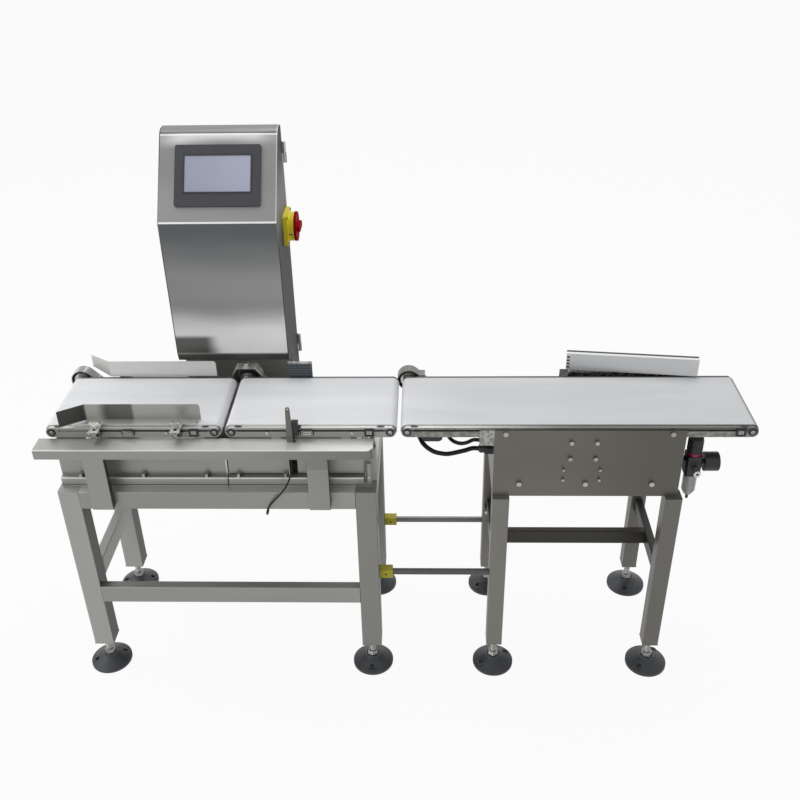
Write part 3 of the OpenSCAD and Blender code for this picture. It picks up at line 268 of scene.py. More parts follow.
def cabinetShade(finish):
    # painted reflections and shade on the folded front: a dark line at the top bend with a painted glint below,
    # a painted light crease, painted shade under it, painted light again towards the belts with a dark left
    # corner, and a dark lip
    x, z = finish.along("X"), finish.along("Z")
    drift = (finish.noise((3, 3, 14), 1, 2) - 0.5) * 0.05
    bend = finish.between(1.309, 1.3112, z)
    bendLine = (z > 1.3078) * (z < 1.3102)
    glint = finish.between(1.272, 1.302, z + drift) * (1 - bend)
    sides = finish.between(-0.545, -0.49, x) * (1 - finish.between(-0.33, -0.275, x))
    crease, topLine = (z > 1.1352) * (z < 1.1392), (z > 1.304) * (z < 1.3072)
    edge = crease * 0.8 + (x > -0.2712) * (z > 1.137) * 0.45 + topLine * 0.6
    underCrease = finish.between(0.985, 1.12, z + drift) * (1 - finish.between(1.135, 1.139, z))
    lowBand = (1 - finish.between(0.845, 0.935, z + drift)) * finish.between(0.793, 0.799, z)
    lip = 1 - finish.between(0.789, 0.796, z)
    corner = (1 - finish.between(-0.472, -0.432, x)) * lowBand * (1 - finish.between(0.835, 0.85, z))
    return [(glint * (0.2 + 0.5 * sides), "#f2f2f2"), (bend * 0.6, "#7b7b7b"), (bendLine * 0.8, "#3f3f3f"),
            (underCrease * 0.8, "#4b5054"), (edge, "#ffffff"), (lowBand * 0.9, "#f8f8f6"),
            (corner * 0.9, "#4a4b47"), (lip * 0.75, "#4c4c48")]


def sideShade(finish):
    # the column's front and back, the side beside the panel and the hinge leaves catch more light
    x, y, z = finish.axes()
    beside = finish.between(1.06, 1.15, z) * (1 - finish.between(1.16, 1.29, z))
    return [((y < 0.1372) * (z < 0.775) * 0.9, "#c1c0bc"), (beside * 0.75, "#a19e9b"),
            ((x > -0.2666) * 0.9, "#dcdcd8"), ((y > 0.2346) * 0.9, "#a2a29f")]


def baseShade(finish):
    # painted highlights on the front edge of the ledge and on the infeed apron's end, painted light on the face
    # below with a dark painted line in it, and painted shade in a dark line where the weighing apron stands on
    # the ledge
    x, y, z = finish.axes()
    ledge = (z > 0.601) * (z < 0.6046) * (y < -0.1885)
    apronEnd = (x > -0.398) * (x < -0.394) * (z > 0.606) * (y < -0.17)
    foot = (z > 0.6046) * (z < 0.6085) * (y > -0.1795) * (x > -0.39) + (z > 0.583) * (z < 0.5852)
    return [((z < 0.601) * 0.3, "#cfcfcb"), (ledge * 0.9 + apronEnd * 0.7, "#f4f4f1"),
            (foot * 0.8, "#2b2b29")]


def railShade(finish):
    # painted light and shade: a bright top strip that darkens along the reject belt, painted shade in the
    # groove, and the far rail in painted shade
    x, y, z = finish.axes()
    groove = (z > 0.7368) * (z < 0.7418) * (x > -0.69)
    darkTop = (z > 0.7418) * finish.between(0.05, 0.45, x)
    return [((z > 0.7462) * 0.75, "#e4e4e1"), (darkTop * 0.85, "#565550"),
            (groove * 0.85, "#363633"), ((y > 0) * 0.85, "#383836")]


def boxShade(finish):
    # light junction block at the left end, dark top of the shelf behind the belt, darker right half
    x, y, z = finish.axes()
    mottle = finish.between(0.42, 0.6, finish.noise((130, 130, 130), 1, 4))
    return [(finish.between(0.35, 0.6, x) * 0.65, "#5c5a53"),
            ((x < 0.2299) * (0.35 + 0.6 * mottle), "#b9b8b3"),
            ((y > 0.0392) * (z > 0.7132) * (0.9 - 0.25 * mottle), "#2b2b29")]


def coverShade(finish):
    # upright bands, as a polished curve mirrors the room, and the reject drive's cover in shade
    x = finish.along("X")
    bands = finish.between(0.44, 0.56, finish.noise((75, 6, 6), 1, 2))
    return [(bands * 0.7, "#77787a"), ((x > -0.1) * 0.75, "#6b6a66")]


armRest = {"turn": 6.5, "x": 424, "y": 57.4}  # turn at rest, and a corner of the arm's front face
armSin, armCos = math.sin(math.radians(armRest["turn"])), math.cos(math.radians(armRest["turn"]))


def armShade(finish):
    # dark line along the back of the top
    x, y, z = finish.axes()
    depth = (x - armRest["x"] * mm) * armSin + (y - armRest["y"] * mm) * armCos
    return [((z > 0.7986) * (depth > 0.0095) * 0.95, "#2a2b2a")]


def stripShade(finish):
    # dark mottle
    return [(0.95 * finish.between(0.4, 0.58, finish.noise((140, 140, 140), 1, 4)), "#2b2b29")]


def rejectRailShade(finish):
    # speckled, and then as the other rails
    speckle = finish.between(0.4, 0.64, finish.noise((70, 70, 110), 1, 5, 0.65))
    return [(speckle * 0.5, "#bdbdb8")] + railShade(finish)


tubeSteel = brushedSteel("tubeSteel", "#a3a39f", "z", shade=legShade)
# painted light on the tops of the upper beams
beamSteel = brushedSteel("beamSteel", "#9b9b97", "x",
                         shade=lambda f: [((f.along("Z") > 0.5794) * 0.75, "#d4d4d0")])
# the right frame: darker copies of the tube and beam steel in painted shade, with more painted shade on the
# legs at the far right
rightTube = brushedSteel("rightTube", "#7f7d77", "z",
                         shade=lambda f: [((f.along("X") > 0.5) * 0.6, "#6a6863")])
rightBeam = brushedSteel("rightBeam", "#3f3d39", "x")
guardSteel = brushedSteel("guardSteel", "#a1a19d", "x", shade=guardShade)
baseSteel = brushedSteel("baseSteel", "#9b9b97", "x", shade=baseShade)
guideSteel = brushedSteel("guideSteel", "#d4d4d1", "x", vary=0.16)
frontGuideSteel = brushedSteel("frontGuideSteel", "#a8a9a3", "x", vary=0.16, shade=frontGuideShade)
cabinetSteel = brushedSteel("cabinetSteel", "#929291", "x", vary=0.12, shade=cabinetShade)
# the cabinet's sides: a darker copy of the cabinet's steel, in painted shade
sideSteel = brushedSteel("sideSteel", "#525150", "z", rough=0.5, shade=sideShade, edge=0.2)
# painted light on the door's hinge knuckle
doorSteel = brushedSteel("doorSteel", "#a2a29f", "z",
                         shade=lambda f: [((f.along("X") > -0.2668) * 0.9, "#ecece8")])
boxSteel = brushedSteel("boxSteel", "#726f69", "x", shade=boxShade)
# the front rod in painted shade, the rear one painted lighter
rodSteel = brushedSteel("rodSteel", "#5a5a58", "x", metal=0.7,
                        shade=lambda f: [((f.along("Y") > 0) * 0.95, "#70706e")])
coverSteel = brushedSteel("coverSteel", "#c2c1bd", "x", rough=0.34, metal=0.3, vary=0.2, shade=coverShade)
boltSteel = brushedSteel("boltSteel", "#9d9c98", "x", rough=0.2, metal=0.95, vary=0.4, edge=0.8)
# painted dark reflection on the lower part of the clamps
clampSteel = brushedSteel("clampSteel", "#c3c2bf", "z", rough=0.24, metal=0.9, vary=0.35, edge=0.8,
                          shade=lambda f: [((f.along("Z") < 0.752) * 0.6, "#4f4e4a")])
brightSteel = brushedSteel("brightSteel", "#c3c2bf", "z", rough=0.22, metal=0.9, vary=0.2, edge=0.8)
railAluminium = brushedSteel("railAluminium", "#a09f9b", "x", shade=railShade)
rejectRail = brushedSteel("rejectRail", "#7c7b77", "x", shade=rejectRailShade)
castAluminium = brushedSteel("castAluminium", "#a9a9a7", "x", rough=0.5)
armAluminium = brushedSteel("armAluminium", "#e8e9e9", "x", rough=0.42, shade=armShade)
stripSteel = brushedSteel("stripSteel", "#7d7c77", "x", shade=stripShade)

beltCloth = Finish("beltCloth")  # pale coated belt with a fine weave under its skin
weave = [beltCloth.node("ShaderNodeTexWave", {"wave_type": "BANDS", "bands_direction": way},
                        {"Vector": beltCloth.position, "Scale": 300.0, "Distortion": 0.4}) for way in "XY"]
beltScuff = beltCloth.noise((2, 14, 14), 1, 4)
beltPale = beltCloth.between(0.3, 0.75, beltScuff)
beltInfeed = beltCloth.mix(beltPale, tint("#dadbdd"), tint("#e4e5e7"))
beltReject = beltCloth.mix(beltPale, tint("#c8c9cb"), tint("#d2d3d4"))
beltTop = beltCloth.mix(beltCloth.between(-0.1, 0.2, beltCloth.along("X")), beltInfeed, beltReject)
beltEnd = beltCloth.between(0.813, 0.8175, beltCloth.along("X"))  # painted shade where it turns round the last roller
beltBackShade = (beltCloth.along("Y") > 0.0236) * 0.75  # painted shade along the edge at the back
beltShade = beltCloth.node("ShaderNodeMath", {"operation": "MAXIMUM"}, {0: beltEnd * 0.75, 1: beltBackShade})
beltCloth.set(base_color=beltCloth.mix(beltShade, beltTop, tint("#525355")),
              roughness=0.45 + (beltScuff - 0.5) * 0.2).bump((weave[0] + weave[1]) * 0.5, 0.0002, 0.2)

blackPlastic = moulded("blackPlastic", "#26272b", "#17181b")
blackMetal = moulded("blackMetal", "#2f3033", "#1b1c1e", rough=0.36, grain=700.0)
rubberBelt = moulded("rubberBelt", "#1f2022", "#141416", rough=0.7)
yellowPlastic = moulded("yellowPlastic", "#c4bc16", "#a79e0c", rough=0.42)
redPlastic = moulded("redPlastic", "#b81219", "#8c0a10", rough=0.6, gloss=0.03)
bezelPlastic = moulded("bezelPlastic", "#37383e", "#2d2e34", rough=0.5, grain=600.0)
dialCard = moulded("dialCard", "#dcdcd8", "#cfcfca", rough=0.5, grain=900.0)
moduleGrey = moulded("moduleGrey", "#b9bcbd", "#9fa2a3", rough=0.5)
reflectorFace = moulded("reflectorFace", "#63686d", "#464b50", rough=0.3, grain=240.0)

screenGlass = Finish("screenGlass")  # a plain lit panel, lavender grey
screenFade = screenGlass.between(-0.48, -0.33, screenGlass.along("X"))
screenRise = screenGlass.between(1.16, 1.25, screenGlass.along("Z"))
screenCloud = screenGlass.noise((6, 6, 6), 1, 2)
screenGlass.set(base_color=screenGlass.mix(screenFade * 0.5 + screenRise * 0.3 + screenCloud * 0.2,
                                           tint("#9699ab"), tint("#b4b8cd")),
                roughness=0.2 + screenCloud * 0.1, coat_weight=0.4)

clearBowl = Finish("clearBowl")  # hazy plastic with a dark drain
bowlHaze = clearBowl.noise((40, 40, 12), 1, 3)
bowlDrain = clearBowl.along("Z") < 0.5335
bowlPlastic = clearBowl.mix(bowlHaze, tint("#a9aca5"), tint("#d6d8d2"))
clearBowl.set(base_color=clearBowl.mix(bowlDrain, bowlPlastic, tint("#1d1d1b")),
              roughness=0.16 + bowlHaze * 0.1, transmission_weight=0.35, ior=1.5)

sensorMix = Finish("sensorMix")  # steel bracket in front, black sensor behind it
isSensor = (sensorMix.along("Y") > -0.2074) * (sensorMix.along("X") > -0.2306)
sensorGrain = sensorMix.noise((900, 900, 8), 1, 3)
sensorSteel = sensorMix.mix(sensorGrain, tint("#55544f"), tint("#807f79"))
sensorMix.set(base_color=sensorMix.mix(isSensor, sensorSteel, tint("#1c1d20")),
              metallic=0.85 * (1 - isSensor), roughness=0.34 + sensorGrain * 0.12)
sensorMix.bump(sensorGrain, 0.0003, 0.25)

regulatorMix = Finish("regulatorMix")  # black body and gauge, silver fitting, red ring below the knob
regulatorX, regulatorY, regulatorZ = regulatorMix.axes()
isFitting = (regulatorY < -0.1735) * (regulatorX < 0.7185)
isRing = (regulatorZ > 0.6482) * (regulatorX < 0.7185)
regulatorPebble = regulatorMix.noise((1, 1, 1), 380, 3)
regulatorPlastic = regulatorMix.mix(isRing, tint("#141517"), tint("#a52248"))
regulatorMix.set(base_color=regulatorMix.mix(isFitting, regulatorPlastic, tint("#c3c3c1")),
                 metallic=0.9 * isFitting, roughness=0.32 + regulatorPebble * 0.16)
regulatorMix.bump(regulatorPebble, 0.0003, 0.3)

footMix = Finish("footMix")  # black moulded cone, bright threaded spindle above it
isSpindle = footMix.along("Z") > 0.0345
footPebble = footMix.noise((1, 1, 1), 300, 3)
thread = footMix.node("ShaderNodeTexWave", {"wave_type": "BANDS", "bands_direction": "Z"},
                      {"Vector": footMix.position, "Scale": 150.0})
footPlastic = footMix.mix(footPebble, tint("#25272b"), tint("#3c3e43"))
spindleSteel = footMix.mix(thread, tint("#8e8d8a"), tint("#d6d5d2"))
footMix.set(base_color=footMix.mix(isSpindle, footPlastic, spindleSteel),
            metallic=0.85 * isSpindle, roughness=0.45 - 0.18 * isSpindle)
footMix.bump(isSpindle * thread + (1 - isSpindle) * footPebble * 0.3, 0.0012, 0.6)

switchMix = Finish("switchMix")  # yellow plate and drum
switchPebble = switchMix.noise((1, 1, 1), 420, 3)
switchMix.set(base_color=switchMix.mix(switchPebble, tint("#ebdb1c"), tint("#f8eb2a")),
              roughness=0.34 + switchPebble * 0.14).bump(switchPebble, 0.0003, 0.3)

finishPlan = {
    tubeSteel: ["left_legs"],
    beamSteel: ["left_beams"],
    rightTube: ["right_legs"],
    rightBeam: ["right_beams"],
    guardSteel: ["front_guard"],
    baseSteel: ["infeed_base", "weigh_base"],
    guideSteel: ["rear_guide"],
    frontGuideSteel: ["front_guide"],
    cabinetSteel: ["cabinet_front"],
    sideSteel: ["cabinet_sides"],
    doorSteel: ["rear_door"],
    boxSteel: ["box_plates"],
    rodSteel: ["tie_rods"],
    brightSteel: ["infeed_drive_roller", "weigh_drive_roller", "reject_drive_roller",
                  "infeed_tail_roller", "weigh_tail_roller", "reject_tail_roller"],
    boltSteel: ["hex_bolts"],
    clampSteel: ["guide_clamps"],
    railAluminium: ["infeed_frame", "weigh_frame"],
    castAluminium: ["load_cell", "arm_actuator"],
    rejectRail: ["reject_frame"],
    armAluminium: ["swing_arm"],
    coverSteel: ["drive_covers"],
    beltCloth: ["infeed_belt", "weigh_belt", "reject_belt"],
    blackPlastic: ["cable_glands", "regulator_knob"],
    footMix: [n for n in nodes if n.startswith("foot_")],
    blackMetal: ["drive_motors", "infeed_motor_pulley", "weigh_motor_pulley", "reject_motor_pulley"],
    rubberBelt: ["timing_belts"],
    yellowPlastic: ["rod_sockets"],
    switchMix: ["switch_base"],
    redPlastic: ["switch_handle"],
    bezelPlastic: ["hmi_bezel"],
    screenGlass: ["hmi_screen"],
    moduleGrey: ["control_modules"],
    reflectorFace: ["reflector"],
    clearBowl: ["regulator_bowl"],
    sensorMix: ["photo_sensor"],
    regulatorMix: ["regulator_body"],
}
for finish, names in finishPlan.items():
    for name in names:
        for place in nodes[name].material_slots:
            place.material = finish.material
print("finishes on", sum(len(names) for names in finishPlan.values()), "solids")


# tools for the small pieces
def fresh():
    if bpy.context.object and bpy.context.object.mode != "OBJECT":
        bpy.ops.object.mode_set(mode="OBJECT")
    bpy.ops.object.select_all(action="DESELECT")


def edit():
    bpy.ops.object.transform_apply(location=True, rotation=True, scale=True)
    bpy.ops.object.mode_set(mode="EDIT")


def pickFaces(test):
    bpy.ops.mesh.select_mode(type="FACE")
    bpy.ops.mesh.select_all(action="DESELECT")
    mesh = bmesh.from_edit_mesh(bpy.context.object.data)
    for face in mesh.faces:
        if test(face.calc_center_median() / mm, face.normal):
            face.select_set(True)
    bmesh.update_edit_mesh(bpy.context.object.data)


def pickEdges(test):
    bpy.ops.mesh.select_mode(type="EDGE")
    bpy.ops.mesh.select_all(action="DESELECT")
    mesh = bmesh.from_edit_mesh(bpy.context.object.data)
    for edge in mesh.edges:
        if test((edge.verts[0].co + edge.verts[1].co) / 2 / mm, edge):
            edge.select_set(True)
    bmesh.update_edit_mesh(bpy.context.object.data)


def bevelEdges(width, test, segments=2):
    pickEdges(test)
    bpy.ops.mesh.bevel(offset=width * mm, segments=segments, affect="EDGES")


def insetFaces(width, depth, test):
    pickFaces(test)
    bpy.ops.mesh.inset(thickness=width * mm, depth=depth * mm)


def pushFaces(distance, direction, test):
    pickFaces(test)
    step = Vector(direction) * distance * mm
    bpy.ops.mesh.extrude_region_move(TRANSFORM_OT_translate={"value": step})


def rod(radius, height, sides):
    fresh()
    bpy.ops.mesh.primitive_cylinder_add(vertices=sides, radius=radius * mm, depth=height * mm,
                                        location=(0, 0, height / 2 * mm))
    edit()


def brick(width, depth, height):
    fresh()
    bpy.ops.mesh.primitive_cube_add(size=1, location=(0, 0, height / 2 * mm),
                                    scale=(width * mm, depth * mm, height * mm))
    edit()


def isTop(height):
    return lambda c, n: n.z > 0.9 and c.z > height - 0.01


def isMiddle(c, n):
    return n.z > 0.9 and c.xy.length < 1


def isUpright(c, e):
    return abs(e.verts[0].co.z - e.verts[1].co.z) > 0.5 * mm


def topEdges(height):
    return lambda c, e: c.z > height - 0.05


def dish(height, edge, rim, sink, segments=2):
    # rounds the top's edge, then sinks the top inside a rim
    bevelEdges(edge, topEdges(height), segments)
    insetFaces(rim, -sink, isTop(height))


def inRow(plan, proud=0, turn=0):
    # spots along a rail's front
    return [((x, plan["y"] - proud, plan["z"]), front, turn) for x in plan["xs"]]


def setOut(name, body, finish, spots):
    # copies the piece in hand to each spot, and joins the copies
    # a spot is a place in mm, the way that the piece faces there, and its turn about that way
    bpy.ops.object.mode_set(mode="OBJECT")
    source = bpy.context.object
    bpy.ops.object.shade_smooth_by_angle(angle=smoothBelow)
    fresh()
    copies = []
    for place, facing, turn in spots:
        copy = source.copy()
        copy.data = source.data.copy()
        scene.collection.objects.link(copy)
        copy.rotation_mode = "QUATERNION"
        facing = Vector(facing)
        if abs(facing.z) > 0.99:
            way = Quaternion((1, 0, 0), 0 if facing.z > 0 else math.pi)
        else:
            way = facing.to_track_quat("Z", "Y")  # the piece's own Y stays upright
        copy.rotation_quaternion = Quaternion(facing, math.radians(turn)) @ way
        copy.location = Vector(place) * mm
        copy.select_set(True)
        copies.append(copy)
    bpy.data.meshes.remove(source.data)
    piece = copies[0]
    bpy.context.view_layer.objects.active = piece
    if len(copies) > 1:
        bpy.ops.object.join()
    bpy.ops.object.transform_apply(location=True, rotation=True, scale=True)
    piece.name = piece.data.name = name
    piece.data.materials.clear()
    piece.data.materials.append(finish.material)
    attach(piece, body)


smoothBelow = math.radians(40)
front, back, right = (0, -1, 0), (0, 1, 0), (1, 0, 0)
up, down = (0, 0, 1), (0, 0, -1)


# button-head screws, with a round socket, at the rail noses and between them
def buttonHead(plan, sides, segments):
    rod(plan["radius"], plan["height"], sides)
    bevelEdges(plan["round"], topEdges(plan["height"]), segments)
    insetFaces(plan["rim"], 0, isTop(plan["height"]))
    pushFaces(-plan["socket"], up, isTop(plan["height"]))


noseScrew = {"radius": 5.4, "height": 3.5, "round": 1.6, "rim": 1.6, "socket": 2, "y": -195, "z": 734.5,
             "xs": (-785.5, -409.5, -370.5, -7.5, 31.5, 809.5)}
buttonHead(noseScrew, 20, 3)
setOut("noseScrews", "machine", boltSteel, inRow(noseScrew))

railScrew = {"radius": 4, "height": 2.4, "round": 1, "rim": 1.2, "socket": 1.4, "y": -195, "z": 733,
             "xs": (-288.6, -94.2, -700, -520)}
buttonHead(railScrew, 16, 2)
setOut("railScrews", "machine", brightSteel, inRow(railScrew))

# take-up blocks in dark frames near the tail ends
takeUp = {"width": 22, "height": 19, "frame": 3, "depth": 3, "pocket": 2, "edge": 0.8, "y": -195, "z": 734.5,
          "xs": (-457, -55, 783)}
brick(takeUp["width"], takeUp["height"], takeUp["depth"])
insetFaces(takeUp["frame"], 0, isTop(takeUp["depth"]))
pushFaces(-takeUp["pocket"], up, isMiddle)
bevelEdges(takeUp["edge"], topEdges(takeUp["depth"]))
setOut("takeUpFrames", "machine", blackMetal, inRow(takeUp))
takeUpBlock = {"smaller": 9, "depth": 4, "edge": 1.2, "rim": 2, "pocket": 0.8, "back": 0.8}
brick(takeUp["width"] - takeUpBlock["smaller"], takeUp["height"] - takeUpBlock["smaller"], takeUpBlock["depth"])
bevelEdges(takeUpBlock["edge"], topEdges(takeUpBlock["depth"]))
insetFaces(takeUpBlock["rim"], 0, isTop(takeUpBlock["depth"]))
pushFaces(-takeUpBlock["pocket"], up, isMiddle)
setOut("takeUpBlocks", "machine", castAluminium, inRow(takeUp, -takeUpBlock["back"]))

# dark oval plugs on the rails' top faces near the noses; a dish is edge, rim, depth and edge segments
plug = {"radius": 3.4, "stretch": 2.6, "height": 1, "dish": (0.5, 1.1, 0.4), "y": -190.5, "z": 747.5,
        "xs": (-770, -430, -354, -29, 48, 790)}
rod(plug["radius"], plug["height"], 20)
bpy.ops.mesh.select_all(action="SELECT")
bpy.ops.transform.resize(value=(plug["stretch"], 1, 1))
dish(plug["height"], *plug["dish"])
setOut("railPlugs", "machine", blackPlastic,
       [((x, plug["y"], plug["z"]), up, 0) for x in plug["xs"]])

# spring clips on the infeed and weighing rails, on dark backs
clip = {"width": 27, "height": 13, "thick": 2, "corner": 5, "rim": 2.4, "lug": 4, "lugRim": 2, "lugHole": 1.4,
        "edge": 0.7, "proud": 0.8, "y": -195, "z": 735, "xs": (-608, -197)}
clipTop = clip["thick"] + clip["lug"]
brick(clip["width"], clip["height"], clip["thick"])
bevelEdges(clip["corner"], isUpright, 5)
insetFaces(clip["rim"], 0, isTop(clip["thick"]))
pushFaces(clip["lug"], up, isMiddle)
insetFaces(clip["lugRim"], -clip["lugHole"], isTop(clipTop))
bevelEdges(clip["edge"], topEdges(clipTop))
setOut("railClips", "machine", boltSteel, inRow(clip, clip["proud"]))
clipBack = {"wider": 5, "taller": 4, "thick": 1, "corner": 6, "rim": 1.2, "sink": 0.3}
brick(clip["width"] + clipBack["wider"], clip["height"] + clipBack["taller"], clipBack["thick"])
bevelEdges(clipBack["corner"], isUpright, 5)
insetFaces(clipBack["rim"], -clipBack["sink"], isTop(clipBack["thick"]))
setOut("clipBacks", "machine", blackMetal, inRow(clip))
print("rail details done")

# dark cups round the screws at the rail noses
noseCup = {"radius": 10, "height": 1.4, "dish": (0.5, 2.2, 0.5), "back": 0.2}
rod(noseCup["radius"], noseCup["height"], 24)
dish(noseCup["height"], *noseCup["dish"])
setOut("noseCups", "machine", blackMetal, inRow(noseScrew, -noseCup["back"]))

# wing screws on the clamps of the front guide, on dark washers
wing = {"disc": 8.5, "thick": 1.2, "dish": (0.5, 2.2, 0.3), "hub": 4.6, "reach": 12, "height": 7, "edge": 0.8,
        "turn": 22.5, "proud": 1, "y": -213, "z": 742.5, "xs": (-678, -493)}
rod(wing["disc"], wing["thick"], 24)
dish(wing["thick"], *wing["dish"])
setOut("wingWashers", "machine", blackMetal, inRow(wing))
rod(wing["hub"], wing["height"], 8)
for quarter in range(4):
    turn = math.radians(90 * quarter + wing["turn"])
    outward = Vector((math.cos(turn), math.sin(turn), 0))
    pushFaces(wing["reach"] - wing["hub"], outward,
              lambda c, n: n.dot(outward) > 0.9 and c.xy.length < wing["hub"])
bevelEdges(wing["edge"], topEdges(wing["height"]))
setOut("wingScrews", "machine", boltSteel, inRow(wing, wing["proud"], wing["turn"]))

# washers under the box's hexagon bolts, and the bolt on the weighing hood
washer = {"radius": 7.6, "height": 1, "dish": (0.4, 2, 0.2), "y": -197.9,
          "spots": ((255, 734), (631, 734), (291, 595), (445, 595), (599, 595))}
rod(washer["radius"], washer["height"], 24)
dish(washer["height"], *washer["dish"])
setOut("boxWashers", "machine", boxSteel,
       [((x, washer["y"], z), front, 0) for x, z in washer["spots"]])

hoodBolt = {"washer": 8, "base": 1.4, "radius": 6, "height": 5, "edge": 0.6, "place": (-372, 54, 769.3)}
rod(hoodBolt["washer"], hoodBolt["base"], 24)
insetFaces(hoodBolt["washer"] - hoodBolt["radius"], 0, isTop(hoodBolt["base"]))
pushFaces(hoodBolt["height"], up, isMiddle)
bevelEdges(hoodBolt["edge"], topEdges(hoodBolt["base"] + hoodBolt["height"]))
setOut("hoodBolt", "machine", brightSteel, [(hoodBolt["place"], up, 0)])

# grub screws in the tie-rod sockets
grub = {"radius": 2.9, "height": 3, "rim": 1, "socket": 1.5, "spots": ((-26, -201.2, 316), (-26, 100.8, 240))}
rod(grub["radius"], grub["height"], 12)
insetFaces(grub["rim"], 0, isTop(grub["height"]))
pushFaces(-grub["socket"], up, isMiddle)
setOut("socketScrews", "machine", blackMetal, [(spot, front, 0) for spot in grub["spots"]])

# rim round the screen
screenRim = {"wide": 161, "tall": 93, "band": 3.6, "thick": 0.8, "slope": 53.4, "lift": 0.9}
screenLow, screenHigh = [Vector(c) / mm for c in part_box("hmi_screen")]
slope = math.radians(screenRim["slope"])
slopeWay = Vector((0, -math.sin(slope), math.cos(slope)))
screenMid = (screenLow + screenHigh) / 2 + slopeWay * screenRim["lift"]
fresh()
bpy.ops.mesh.primitive_plane_add(size=1)
bpy.context.object.scale = (screenRim["wide"] * mm, screenRim["tall"] * mm, 1)
edit()
insetFaces(screenRim["band"], 0, lambda c, n: True)
pickFaces(lambda c, n: c.xy.length < 1)
bpy.ops.mesh.delete(type="FACE")
pushFaces(screenRim["thick"], up, lambda c, n: True)
bpy.ops.mesh.select_all(action="SELECT")
bpy.ops.mesh.normals_make_consistent(inside=False)
setOut("screenRim", "machine", blackPlastic, [(tuple(screenMid), tuple(slopeWay), 0)])

# screws at the corners of the switch plate, and the dark slot low on its drum
plateScrew = {"radius": 3.4, "height": 1.8, "dish": (0.8, 1, 0.9), "x": -257, "y": 187, "z": 1083,
              "reach": 31.5}
rod(plateScrew["radius"], plateScrew["height"], 16)
dish(plateScrew["height"], *plateScrew["dish"])
reach = (-plateScrew["reach"], plateScrew["reach"])
plateCorners = [(plateScrew["x"], plateScrew["y"] + a, plateScrew["z"] + b) for a in reach for b in reach]
setOut("switchScrews", "machine", blackMetal, [(corner, right, 0) for corner in plateCorners])

drumSlot = {"wide": 10, "tall": 3, "thick": 0.8, "dish": (0.3, 0.6, 0.3, 1), "x": -250, "radius": 34.8,
            "way": (0, -0.968, -0.25)}
brick(drumSlot["wide"], drumSlot["tall"], drumSlot["thick"])
dish(drumSlot["thick"], *drumSlot["dish"])
drumMid = Vector((drumSlot["x"], plateScrew["y"], plateScrew["z"]))
setOut("drumSlot", "machine", blackMetal,
       [(tuple(drumMid + Vector(drumSlot["way"]) * drumSlot["radius"]), drumSlot["way"], 0)])

# rings under the door's two latches
latchRing = {"radius": 15, "height": 1.6, "dish": (0.6, 2.4, 0.5), "x": -521, "y": 238.9, "zs": (842, 1162)}
rod(latchRing["radius"], latchRing["height"], 32)
dish(latchRing["height"], *latchRing["dish"])
setOut("latchRings", "rear_door", blackPlastic,
       [((latchRing["x"], latchRing["y"], z), back, 0) for z in latchRing["zs"]])

# ribs round the regulator's knob
knobRib = {"count": 20, "x": 700, "y": -153.5, "radius": 16.6, "low": 659, "tall": 29, "wide": 2.4, "deep": 1.5,
           "edge": 0.6}
brick(knobRib["wide"], knobRib["tall"], knobRib["deep"])
bevelEdges(knobRib["edge"], topEdges(knobRib["deep"]))
knobRibs = []
for i in range(knobRib["count"]):
    turn = 2 * math.pi * i / knobRib["count"]
    outward = (math.cos(turn), math.sin(turn), 0)
    spot = (knobRib["x"] + outward[0] * knobRib["radius"], knobRib["y"] + outward[1] * knobRib["radius"],
            knobRib["low"] + knobRib["tall"] / 2)
    knobRibs.append((spot, outward, 0))
setOut("knobRibs", "regulator_knob", blackPlastic, knobRibs)

# the gauge's rim, dial, marks and needle
gauge = {"radius": 22.4, "depth": 2.4, "dish": (1, 2.6, 1.2, 3), "x": 756.8, "y": -153.5, "z": 626}
dial = {"radius": 19.6, "thick": 0.5, "rim": 1, "rise": 0.1, "out": 1.1}
mark = {"wide": 1, "long": 3.4, "thick": 0.4, "edge": 0.15, "count": 11, "first": -135, "step": 27, "ring": 16,
        "out": 1.6}
needle = {"wide": 1.1, "long": 14, "thick": 0.5, "edge": 0.2, "off": 3.6, "turn": 45, "out": 1.7}


def gaugeSpot(out, aside, above, turn):
    return ((gauge["x"] + out, gauge["y"] + aside, gauge["z"] + above), right, turn)


rod(gauge["radius"], gauge["depth"], 40)
dish(gauge["depth"], *gauge["dish"])
setOut("gaugeRim", "machine", blackPlastic, [gaugeSpot(0, 0, 0, 0)])
rod(dial["radius"], dial["thick"], 40)
insetFaces(dial["rim"], dial["rise"], isTop(dial["thick"]))
setOut("gaugeDial", "machine", dialCard, [gaugeSpot(dial["out"], 0, 0, 0)])
brick(mark["wide"], mark["long"], mark["thick"])
bevelEdges(mark["edge"], topEdges(mark["thick"]), 1)
marks = []
for i in range(mark["count"]):
    turn = math.radians(mark["first"] + mark["step"] * i)
    marks.append(gaugeSpot(mark["out"], math.sin(turn) * mark["ring"], math.cos(turn) * mark["ring"],
                           -math.degrees(turn)))
setOut("gaugeMarks", "machine", blackPlastic, marks)
brick(needle["wide"], needle["long"], needle["thick"])
bevelEdges(needle["edge"], topEdges(needle["thick"]), 1)
setOut("gaugeNeedle", "machine", redPlastic,
       [gaugeSpot(needle["out"], -needle["off"], needle["off"], needle["turn"])])

